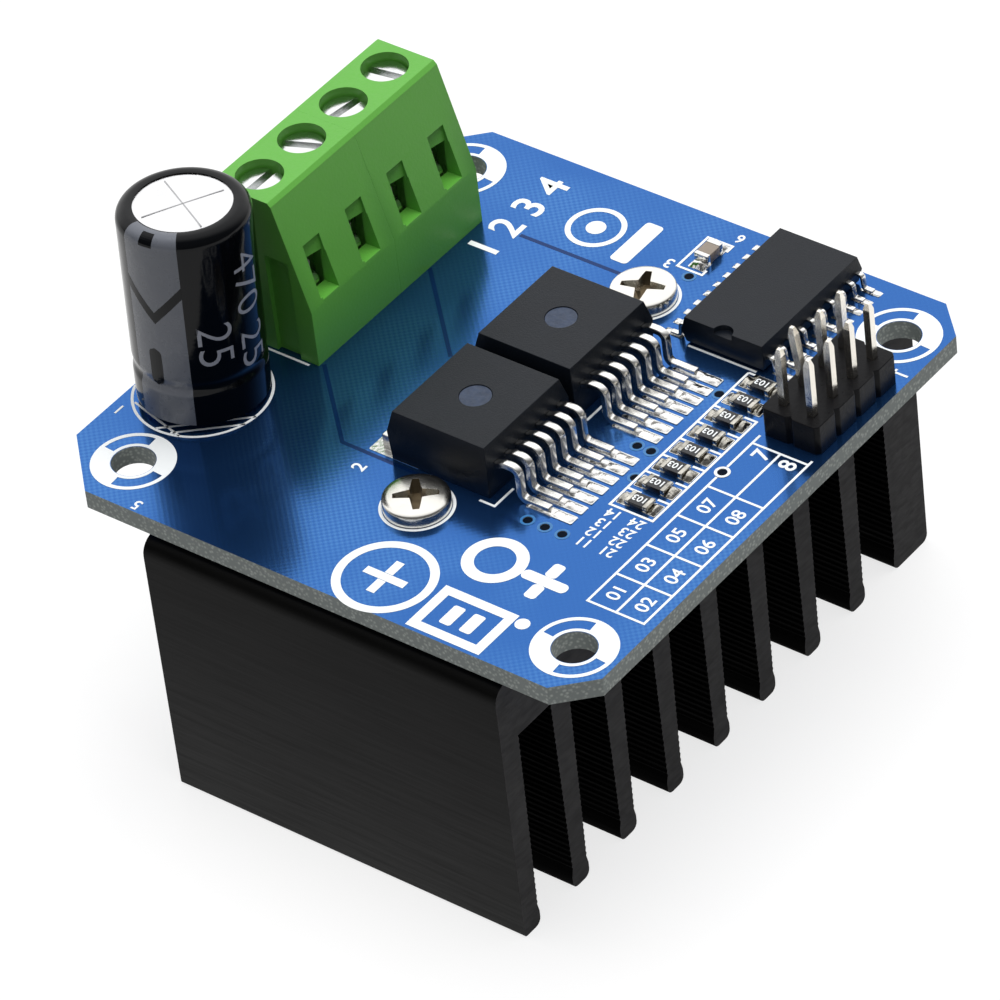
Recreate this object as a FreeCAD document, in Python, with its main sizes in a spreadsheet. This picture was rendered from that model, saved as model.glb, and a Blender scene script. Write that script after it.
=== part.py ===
import FreeCAD, Part
import math
import os
import re

import Sketcher

# Motor driver module: a square circuit board screwed down on a finned heat sink.
# The origin is the centre of the footprint of the heat sink and the board, at the fin tips.
# X runs along the fins, Y across them and Z up. All sizes are in millimetres.

SIZES = {
    # Heat sink, one aluminium extrusion cut to length
    "sink_length": 32.5,
    "sink_height": 24.0,
    "sink_base_thickness": 5.6,
    "sink_corner_radius": 1.4,
    "sink_offset_x": 1.35,
    "fin_count": 9,
    "fin_pitch": 5.95,
    "fin_root_thickness": 2.1,
    "fin_neck_thickness": 1.65,
    "fin_tip_thickness": 2.0,
    "fin_tip_height": 2.0,
    "fin_tip_radius": 0.6,
    "front_wall_thickness": 2.0,
    "rear_wall_thickness": 4.5,
    "rib_pitch": 1.05,
    "rib_depth": 0.14,
    # Insulating pad between the board and the heat sink
    "pad_thickness": 0.6,
    "pad_margin": 0.8,
    # Circuit board
    "board_length": 50.0,
    "board_width": 50.0,
    "board_thickness": 1.6,
    "board_offset_y": -0.55,
    "left_corner_cut": 4.7,
    "right_corner_cut": 2.8,
    "mount_spacing_x": 40.64,
    "mount_spacing_y": 40.64,
    "mount_hole_diameter": 3.4,
    "mount_offset_x": 1.0,
    "mount_offset_y": -0.2,
    "via_diameter": 0.75,
    # Screws that hold the board to the heat sink
    "sink_screw_diameter": 3.0,
    "sink_screw_length": 6.0,
    "sink_screw_head_diameter": 5.2,
    "sink_screw_rim_height": 0.5,
    "sink_screw_dome_height": 0.75,
    "sink_screw_spacing": 28.1,
    "sink_screw_offset_x": 2.1,
    "sink_screw_offset_y": 0.2,
    "sink_screw_board_clearance": 0.1,
    "sink_screw_thread_clearance": 0.03,
    "sink_screw_tip_clearance": 0.6,
    "cross_recess_length": 3.4,
    "cross_recess_width": 0.75,
    "cross_recess_depth": 0.9,
    # Driver chips, two alike side by side
    "driver_length": 10.0,
    "driver_width": 9.25,
    "driver_height": 4.4,
    "driver_top_inset": 0.4,
    "driver_foot_inset": 0.12,
    "driver_parting_height": 2.65,
    "driver_pitch": 10.55,
    "driver_offset_x": 1.7,
    "driver_offset_y": -0.3,
    "ejector_mark_diameter": 2.5,
    "ejector_mark_depth": 0.1,
    "tab_width": 8.4,
    "tab_thickness": 1.27,
    "tab_reach": 1.25,
    "tab_depth_in_body": 7.6,
    "driver_lead_count": 7,
    "driver_lead_pitch": 1.27,
    "driver_lead_width": 0.6,
    "driver_lead_thickness": 0.5,
    "driver_lead_exit_reach": 0.25,
    "driver_lead_rise": 0.25,
    "driver_lead_rise_reach": 0.75,
    "driver_lead_knee_slope": 0.05,
    "driver_lead_knee_reach": 2.05,
    "driver_lead_foot_length": 2.6,
    "driver_lead_bend_radius": 0.62,
    "lead_depth_in_body": 0.5,
    # Logic chip between the drivers and the pin header
    "logic_length": 12.8,
    "logic_width": 7.5,
    "logic_height": 2.45,
    "logic_standoff": 0.2,
    "logic_parting_height": 1.3,
    "logic_inset": 0.22,
    "logic_offset_x": 11.6,
    "logic_offset_y": 17.65,
    "logic_notch_radius": 0.8,
    "logic_notch_depth": 0.45,
    "logic_leads_per_side": 10,
    "logic_lead_pitch": 1.27,
    "logic_lead_width": 0.42,
    "logic_lead_thickness": 0.25,
    "logic_lead_span": 10.4,
    "logic_lead_foot_length": 0.85,
    # Pin header
    "header_pitch": 2.54,
    "header_columns": 4,
    "header_rows": 2,
    "header_height": 2.54,
    "header_notch": 0.3,
    "header_offset_x": 21.68,
    "header_offset_y": 10.69,
    "pin_width": 0.58,
    "pin_top_height": 7.65,
    "pin_tail_length": 2.4,
    "pin_point_length": 0.55,
    "pin_point_width": 0.3,
    "bent_pin_number": 2,
    "bent_pin_lean": 0.65,
    "pin_hole_diameter": 1.0,
    # Screw terminal blocks, two alike side by side
    "pole_pitch": 5.08,
    "poles_per_block": 2,
    "block_count": 2,
    "terminal_depth": 10.2,
    "terminal_height": 14.25,
    "terminal_crown_inner": 2.6,
    "terminal_crown_outer": 1.7,
    "terminal_band_height": 5.0,
    "terminal_shoulder_height": 10.2,
    "terminal_edge": 0.3,
    "terminal_offset_x": -19.3,
    "terminal_offset_y": 5.46,
    "terminal_screw_inset": 0.5,
    "chamber_width": 3.9,
    "chamber_floor": 1.3,
    "chamber_height": 7.0,
    "chamber_back_wall": 1.5,
    "wire_mouth_width": 3.7,
    "wire_mouth_height": 4.2,
    "wire_mouth_bottom": 2.0,
    "wire_mouth_depth": 1.4,
    "window_width": 1.9,
    "window_bottom": 5.25,
    "window_height": 4.5,
    "window_depth": 1.1,
    "end_groove_width": 2.2,
    "end_groove_depth": 0.4,
    "end_groove_height": 9.0,
    "end_groove_spacing": 4.6,
    "clamp_screw_diameter": 2.6,
    "clamp_screw_head_diameter": 3.5,
    "clamp_screw_head_height": 1.9,
    "clamp_screw_sink_depth": 1.0,
    "clamp_screw_clearance": 0.1,
    "clamp_slot_width": 0.7,
    "clamp_slot_depth": 0.7,
    "cage_length": 5.0,
    "cage_wall": 0.5,
    "cage_roof": 1.8,
    "cage_clearance": 0.12,
    "contact_width": 1.2,
    "contact_thickness": 0.8,
    "contact_length": 5.6,
    "contact_tail_length": 2.4,
    "contact_hole_diameter": 1.7,
    # Electrolytic capacitor
    "can_diameter": 9.9,
    "can_height": 16.6,
    "can_standoff": 0.6,
    "can_rim_radius": 0.6,
    "can_groove_height": 3.3,
    "can_groove_width": 0.9,
    "can_groove_depth": 0.2,
    "sleeve_thickness": 0.12,
    "sleeve_lap": 1.15,
    "can_offset_x": -19.9,
    "can_offset_y": -11.35,
    "can_lean_angle": 2.6,
    "bung_diameter": 8.2,
    "bung_height": 1.8,
    "can_lead_diameter": 0.6,
    "can_lead_spacing": 5.0,
    "can_lead_tail_length": 2.0,
    "can_lead_depth_in_bung": 1.0,
    "can_lead_hole_diameter": 0.9,
    # Chip resistors in a row and one chip capacitor
    "resistor_count": 8,
    "resistor_pitch": 2.19,
    "resistor_length": 2.0,
    "resistor_width": 1.25,
    "resistor_height": 0.5,
    "resistor_end_length": 0.38,
    "resistor_offset_x": 16.1,
    "resistor_offset_y": 2.25,
    "chip_capacitor_length": 2.0,
    "chip_capacitor_width": 1.25,
    "chip_capacitor_height": 0.85,
    "chip_capacitor_end_length": 0.4,
    "chip_capacitor_offset_x": 3.5,
    "chip_capacitor_offset_y": 20.7,
    # Solder cones on the underside of the board
    "solder_height": 0.9,
    "solder_spread": 0.45,
}

# Levels and places that follow from the sizes above
DERIVED = {
    "sink_width": "(fin_count - 1) * fin_pitch + rear_wall_thickness",
    "board_bottom": "sink_height + pad_thickness",
    "board_top": "board_bottom + board_thickness",
    "sink_screw_grip": "sink_screw_length - board_thickness - pad_thickness",
    "sink_screw_hole_depth": "sink_screw_grip + sink_screw_tip_clearance",
    "block_length": "poles_per_block * pole_pitch",
    "terminal_outer": "terminal_offset_x - terminal_depth / 2",
    "terminal_inner": "terminal_offset_x + terminal_depth / 2",
    "terminal_screw_x": "terminal_offset_x - terminal_screw_inset",
    "chamber_top": "chamber_floor + chamber_height",
    "clamp_head_seat": "terminal_height - clamp_screw_sink_depth - clamp_screw_head_height",
    "cage_top": "chamber_top - cage_clearance",
    "contact_top": "cage_top - cage_roof - cage_clearance",
    "can_top": "can_standoff + can_height",
    "driver_lead_start": "driver_width / 2 - lead_depth_in_body",
    "header_length": "header_columns * header_pitch",
    "header_depth": "header_rows * header_pitch",
}

# Small holes through the board that carry current to its other side, from its centre
VIA_PLACES = [
    (10.04, -11.0), (11.6, -11.0), (13.17, -11.0), (11.97, -0.14), (13.22, -0.14),
    (13.98, -3.17), (13.71, 7.76), (19.14, 0.57), (3.58, 18.0),
]

doc = FreeCAD.newDocument("motor_driver_module")
sizes = doc.addObject("Spreadsheet::Sheet", "sizes")
for row, (size_name, number) in enumerate(SIZES.items(), start=1):
    sizes.set(f"A{row}", size_name)
    sizes.set(f"B{row}", str(number))
    sizes.setAlias(f"B{row}", size_name)
doc.recompute()


def in_cells(text):
    """An expression with each size in it written as its cell or derived value."""
    def as_reference(match):
        word = match.group()
        if word in SIZES:
            return f"sizes.{word}"
        if word in DERIVED:
            return f"derived.{word}"
        return word
    return re.sub(r"[a-z]\w*", as_reference, text)


derived = doc.addObject("App::VarSet", "derived")
for derived_name, rule in DERIVED.items():
    derived.addProperty("App::PropertyFloat", derived_name)
    derived.setExpression(derived_name, in_cells(rule))
doc.recompute()

nodes = []


def size(name):
    """The number behind a driving size or a derived one."""
    if name in DERIVED:
        return getattr(derived, name)
    return float(sizes.get(name))


def bind(item, rules):
    """Tie properties of an object to expressions of the sizes."""
    for path, rule in rules.items():
        item.setExpression(path, in_cells(rule))
    return item


def as_node(item, label, x="0", y="0"):
    """Name a sub-part and place it from the centre of the board's top face."""
    item.Label = label
    nodes.append(item)
    return bind(item, {
        "Placement.Base.x": x,
        "Placement.Base.y": f"board_offset_y + {y}",
        "Placement.Base.z": "board_top",
    })


def shape_node(shape, label, x="0", y="0"):
    """A sub-part whose shape is worked out here from the sizes."""
    item = doc.addObject("Part::Feature", label)
    item.Shape = shape
    return as_node(item, label, x, y)


def box(name, length, width, height, x="0", y="0", z="0"):
    """A box centred on x and y, standing on z."""
    item = doc.addObject("Part::Box", name)
    return bind(item, {
        "Length": length,
        "Width": width,
        "Height": height,
        "Placement.Base.x": f"{x} - ({length}) / 2",
        "Placement.Base.y": f"{y} - ({width}) / 2",
        "Placement.Base.z": z,
    })


def cylinder(name, diameter, height, x="0", y="0", z="0"):
    """An upright cylinder standing on z."""
    item = doc.addObject("Part::Cylinder", name)
    return bind(item, {
        "Radius": f"({diameter}) / 2",
        "Height": height,
        "Placement.Base.x": x,
        "Placement.Base.y": y,
        "Placement.Base.z": z,
    })


def cut(name, base, tools):
    """The base with the tools taken out of it."""
    item = doc.addObject("Part::Cut", name)
    item.Base = base
    if len(tools) == 1:
        item.Tool = tools[0]
    else:
        item.Tool = doc.addObject("Part::MultiFuse", f"{name}_tools")
        item.Tool.Shapes = tools
    return item


def group(name, items):
    """Like pieces that share one node, each a solid of its own."""
    item = doc.addObject("Part::Compound", name)
    item.Links = items
    return item


def outline_sketch(body, name, plane_role, corners):
    """A closed outline on one of the body's own planes, each corner bound to two expressions."""
    sketch = body.newObject("Sketcher::SketchObject", name)
    plane = next(item for item in body.Origin.OriginFeatures if item.Role == plane_role)
    sketch.AttachmentSupport = (plane, "")
    sketch.MapMode = "FlatFace"
    count = len(corners)
    start = [
        FreeCAD.Vector(math.cos(2 * math.pi * i / count), math.sin(2 * math.pi * i / count), 0)
        for i in range(count)
    ]
    for i in range(count):
        sketch.addGeometry(Part.LineSegment(start[i], start[(i + 1) % count]))
    for i in range(count):
        sketch.addConstraint(Sketcher.Constraint("Coincident", i, 2, (i + 1) % count, 1))
    for i, (across, up) in enumerate(corners):
        for kind, rule, current in (("DistanceX", across, start[i].x), ("DistanceY", up, start[i].y)):
            index = sketch.addConstraint(Sketcher.Constraint(kind, -1, 1, i, 1, current))
            sketch.setExpression(f"Constraints[{index}]", in_cells(rule))
    return sketch


def pad(body, name, sketch, length, middle=False):
    """Extrude a sketch by a bound length, to one side of it or evenly to both."""
    item = body.newObject("PartDesign::Pad", name)
    item.Profile = sketch
    item.Midplane = middle
    return bind(item, {"Length": length})


def revolve(body, name, sketch):
    """Turn a sketch about its own vertical axis."""
    item = body.newObject("PartDesign::Revolution", name)
    item.Profile = sketch
    item.ReferenceAxis = (sketch, ["V_Axis"])
    item.Angle = 360
    return item


def rounded_edges(points):
    """The closed outline through (u, v, radius) corners in the YZ plane, an arc at each radius."""
    corners = [FreeCAD.Vector(0, u, v) for u, v, radius in points]
    radii = [radius for u, v, radius in points]
    count = len(corners)
    leave, arrive, arcs = list(corners), list(corners), {}
    for i in range(count):
        if radii[i] <= 0:
            continue
        back = (corners[i - 1] - corners[i]).normalize()
        ahead = (corners[(i + 1) % count] - corners[i]).normalize()
        half_angle = back.getAngle(ahead) / 2
        reach = radii[i] / math.tan(half_angle)
        arrive[i] = corners[i] + back * reach
        leave[i] = corners[i] + ahead * reach
        inward = (back + ahead).normalize()
        middle = corners[i] + inward * (radii[i] / math.sin(half_angle) - radii[i])
        arcs[i] = Part.Arc(arrive[i], middle, leave[i]).toShape()
    edges = []
    for i in range(count):
        if i in arcs:
            edges.append(arcs[i])
        following = arrive[(i + 1) % count]
        if leave[i].distanceToPoint(following) > 1e-6:
            edges.append(Part.makeLine(leave[i], following))
    return edges


def prism_along_x(points, length):
    """A solid with a rounded outline in the YZ plane, centred on X = 0."""
    face = Part.Face(Part.Wire(rounded_edges(points)))
    face.translate(FreeCAD.Vector(-length / 2, 0, 0))
    return face.extrude(FreeCAD.Vector(length, 0, 0))


def strip_outline(path, radius, thickness):
    """The outline of a bent strip of even thickness whose middle follows the path."""
    points = [FreeCAD.Vector(0, u, v) for u, v in path]
    sides = ([], [])
    for i, point in enumerate(points):
        before = (point - points[i - 1]).normalize() if i else None
        after = (points[i + 1] - point).normalize() if i < len(points) - 1 else None
        along = (before or after) + (after or before)
        along.normalize()
        normal = FreeCAD.Vector(0, -along.z, along.y)
        spread = thickness / 2 / math.cos((before or after).getAngle(after or before) / 2)
        turn = 0
        if before and after:
            turn = before.y * after.z - before.z * after.y
        for side, sign in zip(sides, (1, -1)):
            corner = point + normal * (spread * sign)
            inner = (turn * sign) > 0
            corner_radius = radius - thickness / 2 if inner else radius + thickness / 2
            side.append((corner.y, corner.z, corner_radius if turn else 0))
    return sides[0] + sides[1][::-1]


def ribbed_side(root, neck, outward):
    """Corners down one fin side from its root to its neck, with small ridges along the fin."""
    (root_y, root_z), (neck_y, neck_z) = root, neck
    ridge_count = int((root_z - neck_z) / size("rib_pitch") - 0.5)
    step = (root_z - neck_z) / (ridge_count + 0.5)
    corners = [(root_y, root_z, 0)]
    for ridge in range(ridge_count):
        for offset, height in ((0.5, 0), (1.0, size("rib_depth"))):
            share = (ridge + offset) * step / (root_z - neck_z)
            y = root_y + (neck_y - root_y) * share + outward * height
            corners.append((y, root_z + (neck_z - root_z) * share, 0))
    corners.append((neck_y, neck_z, 0))
    return corners


def fin_side(centre_root, centre_neck, centre_tip, outward):
    """One side of a fin from the channel's root to the beaded tip, given its Y at each level."""
    root_z = size("sink_height") - size("sink_base_thickness")
    neck_z = size("fin_tip_height")
    corners = ribbed_side((centre_root, root_z), (centre_neck, neck_z), outward)
    corners.append((centre_tip, neck_z * 0.6, 0))
    corners.append((centre_tip, 0, size("fin_tip_radius")))
    return corners


def heat_sink_outline():
    """The comb section of the extrusion, from the top of its front wall round to its foot."""
    half = size("sink_width") / 2
    top = size("sink_height")
    neck_loss = (size("fin_root_thickness") - size("fin_neck_thickness")) / 2
    tip_gain = (size("fin_tip_thickness") - size("fin_neck_thickness")) / 2
    outline = [(-half, top, size("sink_corner_radius")), (half, top, size("sink_corner_radius"))]
    outline.append((half, 0, size("fin_tip_radius")))
    rear_y = half - size("rear_wall_thickness")
    outline += fin_side(rear_y, rear_y + neck_loss, rear_y + neck_loss - tip_gain, -1)[::-1]
    for fin in range(int(size("fin_count")) - 2, 0, -1):
        centre = -half + fin * size("fin_pitch") + size("fin_root_thickness") / 2
        levels = [size(f"fin_{level}_thickness") / 2 for level in ("root", "neck", "tip")]
        outline += fin_side(*[centre + level for level in levels], 1)
        outline += fin_side(*[centre - level for level in levels], -1)[::-1]
    front_y = -half + size("front_wall_thickness")
    outline += fin_side(front_y, front_y - neck_loss, front_y - neck_loss + tip_gain, 1)
    outline.append((-half, 0, size("fin_tip_radius") / 2))
    return outline


def make_heat_sink():
    """The black finned extrusion, with a blind tapped hole for each screw."""
    comb = doc.addObject("Part::Feature", "sink_comb")
    comb.Shape = prism_along_x(heat_sink_outline(), size("sink_length"))
    holes = [
        cylinder(
            f"sink_tapped_hole_{number}",
            "sink_screw_diameter + 2 * sink_screw_thread_clearance",
            "sink_screw_hole_depth",
            "sink_screw_offset_x - sink_offset_x",
            f"board_offset_y + sink_screw_offset_y {sign} sink_screw_spacing / 2",
            "sink_height - sink_screw_hole_depth",
        )
        for number, sign in ((1, "-"), (2, "+"))
    ]
    sink = cut("sink_with_holes", comb, holes)
    sink.Label = "heat_sink"
    bind(sink, {"Placement.Base.x": "sink_offset_x"})
    nodes.append(sink)


def screw_passages(name, height, bottom):
    """Clearance holes of the two screws through a sheet, drawn from the board's centre."""
    return [
        cylinder(
            f"{name}_screw_hole_{number}",
            "sink_screw_diameter + 2 * sink_screw_board_clearance",
            height,
            "sink_screw_offset_x",
            f"sink_screw_offset_y {sign} sink_screw_spacing / 2",
            bottom,
        )
        for number, sign in ((1, "-"), (2, "+"))
    ]


def make_thermal_pad():
    """A soft insulating sheet as long as the heat sink's top, under the board."""
    sheet = box(
        "pad_sheet",
        "sink_length - 2 * pad_margin",
        "board_width - 2 * pad_margin",
        "pad_thickness",
        "sink_offset_x",
        "0",
        "-board_thickness - pad_thickness",
    )
    holes = screw_passages("pad", "pad_thickness", "-board_thickness - pad_thickness")
    as_node(cut("pad_with_holes", sheet, holes), "thermal_pad")


def lead_places():
    """Board places and hole diameters of every pin and wire that goes through the board."""
    places = []
    for row in (-0.5, 0.5):
        for column in range(int(size("header_columns"))):
            x = size("header_offset_x") + row * size("header_pitch")
            y = size("header_offset_y") + (column - (size("header_columns") - 1) / 2) * size("header_pitch")
            places.append((x, y, size("pin_hole_diameter")))
    places += [(contact_pin_x(), y, size("contact_hole_diameter")) for y in pole_places()]
    for side in (-1, 1):
        y = size("can_offset_y") + side * size("can_lead_spacing") / 2
        places.append((size("can_offset_x"), y, size("can_lead_hole_diameter")))
    return places


def make_circuit_board():
    """The board: a square with four cut corners, its mounting holes and its smaller holes."""
    body = doc.addObject("PartDesign::Body", "board_blank")
    left, right = "-board_length / 2", "board_length / 2"
    front, rear = "-board_width / 2", "board_width / 2"
    corners = [
        (f"{left} + left_corner_cut", front),
        (f"{right} - right_corner_cut", front),
        (right, f"{front} + right_corner_cut"),
        (right, f"{rear} - right_corner_cut"),
        (f"{right} - right_corner_cut", rear),
        (f"{left} + left_corner_cut", rear),
        (left, f"{rear} - left_corner_cut"),
        (left, f"{front} + left_corner_cut"),
    ]
    sketch = outline_sketch(body, "board_outline", "XY_Plane", corners)
    pad(body, "board_sheet", sketch, "board_thickness").Reversed = True
    mount_holes = [
        cylinder(
            f"mount_hole_{x_sign}{y_sign}".replace("-", "a").replace("+", "b"),
            "mount_hole_diameter",
            "board_thickness",
            f"mount_offset_x {x_sign} mount_spacing_x / 2",
            f"mount_offset_y {y_sign} mount_spacing_y / 2",
            "-board_thickness",
        )
        for x_sign in "-+" for y_sign in "-+"
    ]
    drilled = doc.addObject("Part::Feature", "board_small_holes")
    holes = [(x, y, size("via_diameter")) for x, y in VIA_PLACES] + lead_places()
    thickness = size("board_thickness")
    drilled.Shape = Part.makeCompound([
        Part.makeCylinder(diameter / 2, thickness, FreeCAD.Vector(x, y, -thickness))
        for x, y, diameter in holes
    ])
    tools = mount_holes + screw_passages("board", "board_thickness", "-board_thickness") + [drilled]
    as_node(cut("board_with_holes", body, tools), "circuit_board")


def make_sink_screw(number, x, y):
    """A pan-head screw with a cross recess, its head on the board and its tip in the heat sink."""
    body = doc.addObject("PartDesign::Body", f"sink_screw_{number}")
    head, shank = "sink_screw_head_diameter / 2", "sink_screw_diameter / 2"
    crown = "sink_screw_rim_height + sink_screw_dome_height"
    corners = [
        ("0", "-sink_screw_length"),
        (f"{shank} - 0.4", "-sink_screw_length"),
        (shank, "-sink_screw_length + 0.4"),
        (shank, "0"),
        (head, "0"),
        (head, "sink_screw_rim_height"),
        (f"{head} * 0.87", "sink_screw_rim_height + sink_screw_dome_height * 0.45"),
        (f"{head} * 0.6", "sink_screw_rim_height + sink_screw_dome_height * 0.8"),
        (f"{head} * 0.25", crown),
        ("0", crown),
    ]
    revolve(body, f"sink_screw_turning_{number}", outline_sketch(body, f"screw_side_{number}", "XZ_Plane", corners))
    recess = [
        box(f"cross_slot_{number}_{way}", length, width, "cross_recess_depth", "0", "0",
            f"{crown} - cross_recess_depth")
        for way, length, width in (
            ("along", "cross_recess_length", "cross_recess_width"),
            ("across", "cross_recess_width", "cross_recess_length"),
        )
    ]
    screw = cut(f"sink_screw_cut_{number}", body, recess)
    return bind(screw, {"Placement.Base.x": x, "Placement.Base.y": y})


def make_sink_screws():
    """The two screws that clamp the board and the pad to the heat sink."""
    screws = [
        make_sink_screw(number, "sink_screw_offset_x", f"sink_screw_offset_y {sign} sink_screw_spacing / 2")
        for number, sign in ((1, "-"), (2, "+"))
    ]
    as_node(group("sink_screw_pair", screws), "heat_sink_screws")


def moulded_half(length, width, inset, height, bottom, widens):
    """Half of a moulded chip body, drafted by the inset away from its parting plane."""
    half_x, half_y = width / 2, length / 2
    wide = [(-half_x, -half_y), (half_x, -half_y), (half_x, half_y), (-half_x, half_y)]
    narrow = [(x - math.copysign(inset, x), y - math.copysign(inset, y)) for x, y in wide]
    lower, upper = (narrow, wide) if widens else (wide, narrow)
    rings = [
        Part.makePolygon([FreeCAD.Vector(x, y, z) for x, y in ring + ring[:1]])
        for ring, z in ((lower, bottom), (upper, bottom + height))
    ]
    return Part.makeLoft(rings, True, True)


def moulded_body(length, width, parting, top, bottom, foot_inset, top_inset):
    """A chip body that is widest at the plane where its leads leave it."""
    lower = moulded_half(length, width, foot_inset, parting - bottom, bottom, True)
    upper = moulded_half(length, width, top_inset, top - parting, parting, False)
    return lower.fuse(upper)


def lead_row(profile, width, count, pitch):
    """Like leads side by side along Y, from one side profile drawn in the XZ plane."""
    blank = prism_along_x(profile, width)
    blank.rotate(FreeCAD.Vector(0, 0, 0), FreeCAD.Vector(0, 0, 1), -90)
    leads = []
    for number in range(count):
        lead = blank.copy()
        lead.translate(FreeCAD.Vector(0, (number - (count - 1) / 2) * pitch, 0))
        leads.append(lead)
    return leads


def driver_leads():
    """Seven bent leads: out of the body, over a low hump and down to flat feet."""
    thickness = size("driver_lead_thickness")
    exit_z = size("driver_parting_height")
    start = size("driver_lead_start")
    edge = size("driver_width") / 2
    knee = edge + size("driver_lead_knee_reach")
    path = [
        (start, exit_z),
        (edge + size("driver_lead_exit_reach"), exit_z),
        (edge + size("driver_lead_rise_reach"), exit_z + size("driver_lead_rise")),
        (knee - size("driver_lead_knee_slope"), exit_z + size("driver_lead_rise")),
        (knee, thickness / 2),
        (knee + size("driver_lead_foot_length"), thickness / 2),
    ]
    profile = strip_outline(path, size("driver_lead_bend_radius"), thickness)
    profile = [(u, v, radius if abs(v - exit_z) > 0.3 or u > edge + 1 else 0) for u, v, radius in profile]
    return lead_row(profile, size("driver_lead_width"), int(size("driver_lead_count")), size("driver_lead_pitch"))


def make_driver(number, label):
    """One power chip: moulded body, metal tab under and behind it, and its leads."""
    y = f"driver_offset_y + ({number} - 1.5) * driver_pitch"
    top = size("driver_height")
    moulding = moulded_body(
        size("driver_length"), size("driver_width"), size("driver_parting_height"), top, 0,
        size("driver_foot_inset"), size("driver_top_inset"),
    )
    edge = -size("driver_width") / 2
    tab_length = size("tab_reach") + size("tab_depth_in_body")
    tab = Part.makeBox(
        tab_length, size("tab_width"), size("tab_thickness"),
        FreeCAD.Vector(edge - size("tab_reach"), -size("tab_width") / 2, 0),
    )
    tab = Part.makeCompound([tab])
    leads = driver_leads()
    mark_depth = size("ejector_mark_depth")
    mark = Part.makeCylinder(size("ejector_mark_diameter") / 2, mark_depth, FreeCAD.Vector(0, 0, top - mark_depth))
    moulding = moulding.cut(Part.makeCompound([tab, mark] + leads))
    for shape, part in ((moulding, "body"), (tab, "tab"), (Part.makeCompound(leads), "leads")):
        shape_node(shape, f"{label}_{part}", "driver_offset_x", y)


def make_logic_chip():
    """The wide logic chip with ten leads along each long side."""
    parting, top = size("logic_parting_height"), size("logic_height")
    moulding = moulded_body(
        size("logic_length"), size("logic_width"), parting, top, size("logic_standoff"),
        size("logic_inset"), size("logic_inset"),
    )
    thickness = size("logic_lead_thickness")
    start = size("logic_width") / 2 - size("lead_depth_in_body")
    tip = size("logic_lead_span") / 2
    heel = tip - size("logic_lead_foot_length")
    path = [(start, parting), (heel - 0.12, parting), (heel, thickness / 2), (tip, thickness / 2)]
    profile = strip_outline(path, thickness * 0.9, thickness)
    count, pitch = int(size("logic_leads_per_side")), size("logic_lead_pitch")
    leads = lead_row(profile, size("logic_lead_width"), count, pitch)
    mirrored = [lead.mirror(FreeCAD.Vector(0, 0, 0), FreeCAD.Vector(1, 0, 0)) for lead in leads]
    leads += mirrored
    notch_depth = size("logic_notch_depth")
    notch = Part.makeCylinder(
        size("logic_notch_radius"), notch_depth,
        FreeCAD.Vector(0, -size("logic_length") / 2 + size("logic_inset"), top - notch_depth),
    )
    moulding = moulding.cut(Part.makeCompound([notch] + leads))
    for shape, part in ((moulding, "body"), (Part.makeCompound(leads), "leads")):
        shape_node(shape, f"logic_chip_{part}", "logic_offset_x", "logic_offset_y")


def header_pin_places():
    """Centres of the header's pins."""
    pins = []
    for row in range(int(size("header_rows"))):
        for column in range(int(size("header_columns"))):
            x = size("header_offset_x") + (row - (size("header_rows") - 1) / 2) * size("header_pitch")
            y = size("header_offset_y") + (column - (size("header_columns") - 1) / 2) * size("header_pitch")
            pins.append((x, y))
    return pins


def header_side(length, pitch, notch):
    """Distances along one side of the header base and how far each lies in from that side."""
    steps = [(-length / 2 + notch, 0)]
    for joint in range(1, round(length / pitch)):
        place = -length / 2 + joint * pitch
        steps += [(place - notch, 0), (place, notch), (place + notch, 0)]
    steps.append((length / 2 - notch, 0))
    return steps


def make_header():
    """A two-row pin header: one black base with a waist between cells, and square pins."""
    length, depth = size("header_length"), size("header_depth")
    pitch, notch = size("header_pitch"), size("header_notch")
    centre_x, centre_y = size("header_offset_x"), size("header_offset_y")
    long_side = header_side(length, pitch, notch)
    short_side = header_side(depth, pitch, notch)
    ring = [(depth / 2 - inset, along) for along, inset in long_side]
    ring += [(along, length / 2 - inset) for along, inset in reversed(short_side)]
    ring += [(-depth / 2 + inset, along) for along, inset in reversed(long_side)]
    ring += [(along, -length / 2 + inset) for along, inset in short_side]
    wire = Part.makePolygon([FreeCAD.Vector(centre_x + x, centre_y + y, 0) for x, y in ring + ring[:1]])
    base = Part.Face(wire).extrude(FreeCAD.Vector(0, 0, size("header_height")))
    pins = []
    for number, (x, y) in enumerate(header_pin_places(), start=1):
        lean = size("bent_pin_lean") if number == round(size("bent_pin_number")) else 0
        pins.append(square_pin(x, y, lean))
    shape_node(base.cut(Part.makeCompound(pins)), "header_base")
    shape_node(Part.makeCompound(pins), "header_pins")


def square_pin(x, y, lean):
    """One square pin through the header and the board, its top leaning by that much to -X."""
    width, point = size("pin_width"), size("pin_point_length")
    bottom = -size("board_thickness") - size("pin_tail_length")
    top = size("pin_top_height")
    rings = []
    base_top = size("header_height")
    levels = (
        (bottom, size("pin_point_width")), (bottom + point, width), (base_top, width),
        (top - point, width), (top, size("pin_point_width")),
    )
    for z, across in levels:
        half = across / 2
        middle = x - lean * max(0, z - base_top) / (top - base_top)
        corners = [(-half, -half), (half, -half), (half, half), (-half, half), (-half, -half)]
        rings.append(Part.makePolygon([FreeCAD.Vector(middle + dx, y + dy, z) for dx, dy in corners]))
    return Part.makeLoft(rings, True, True)


def pole_places():
    """The Y place of each terminal pole."""
    count = int(size("poles_per_block")) * int(size("block_count"))
    return [size("terminal_offset_y") + (i - (count - 1) / 2) * size("pole_pitch") for i in range(count)]


def contact_pin_x():
    """The X place of the terminal contacts' tails, inside the rear of each chamber."""
    return size("terminal_inner") - size("chamber_back_wall") - size("contact_thickness") / 2 - 0.15


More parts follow.
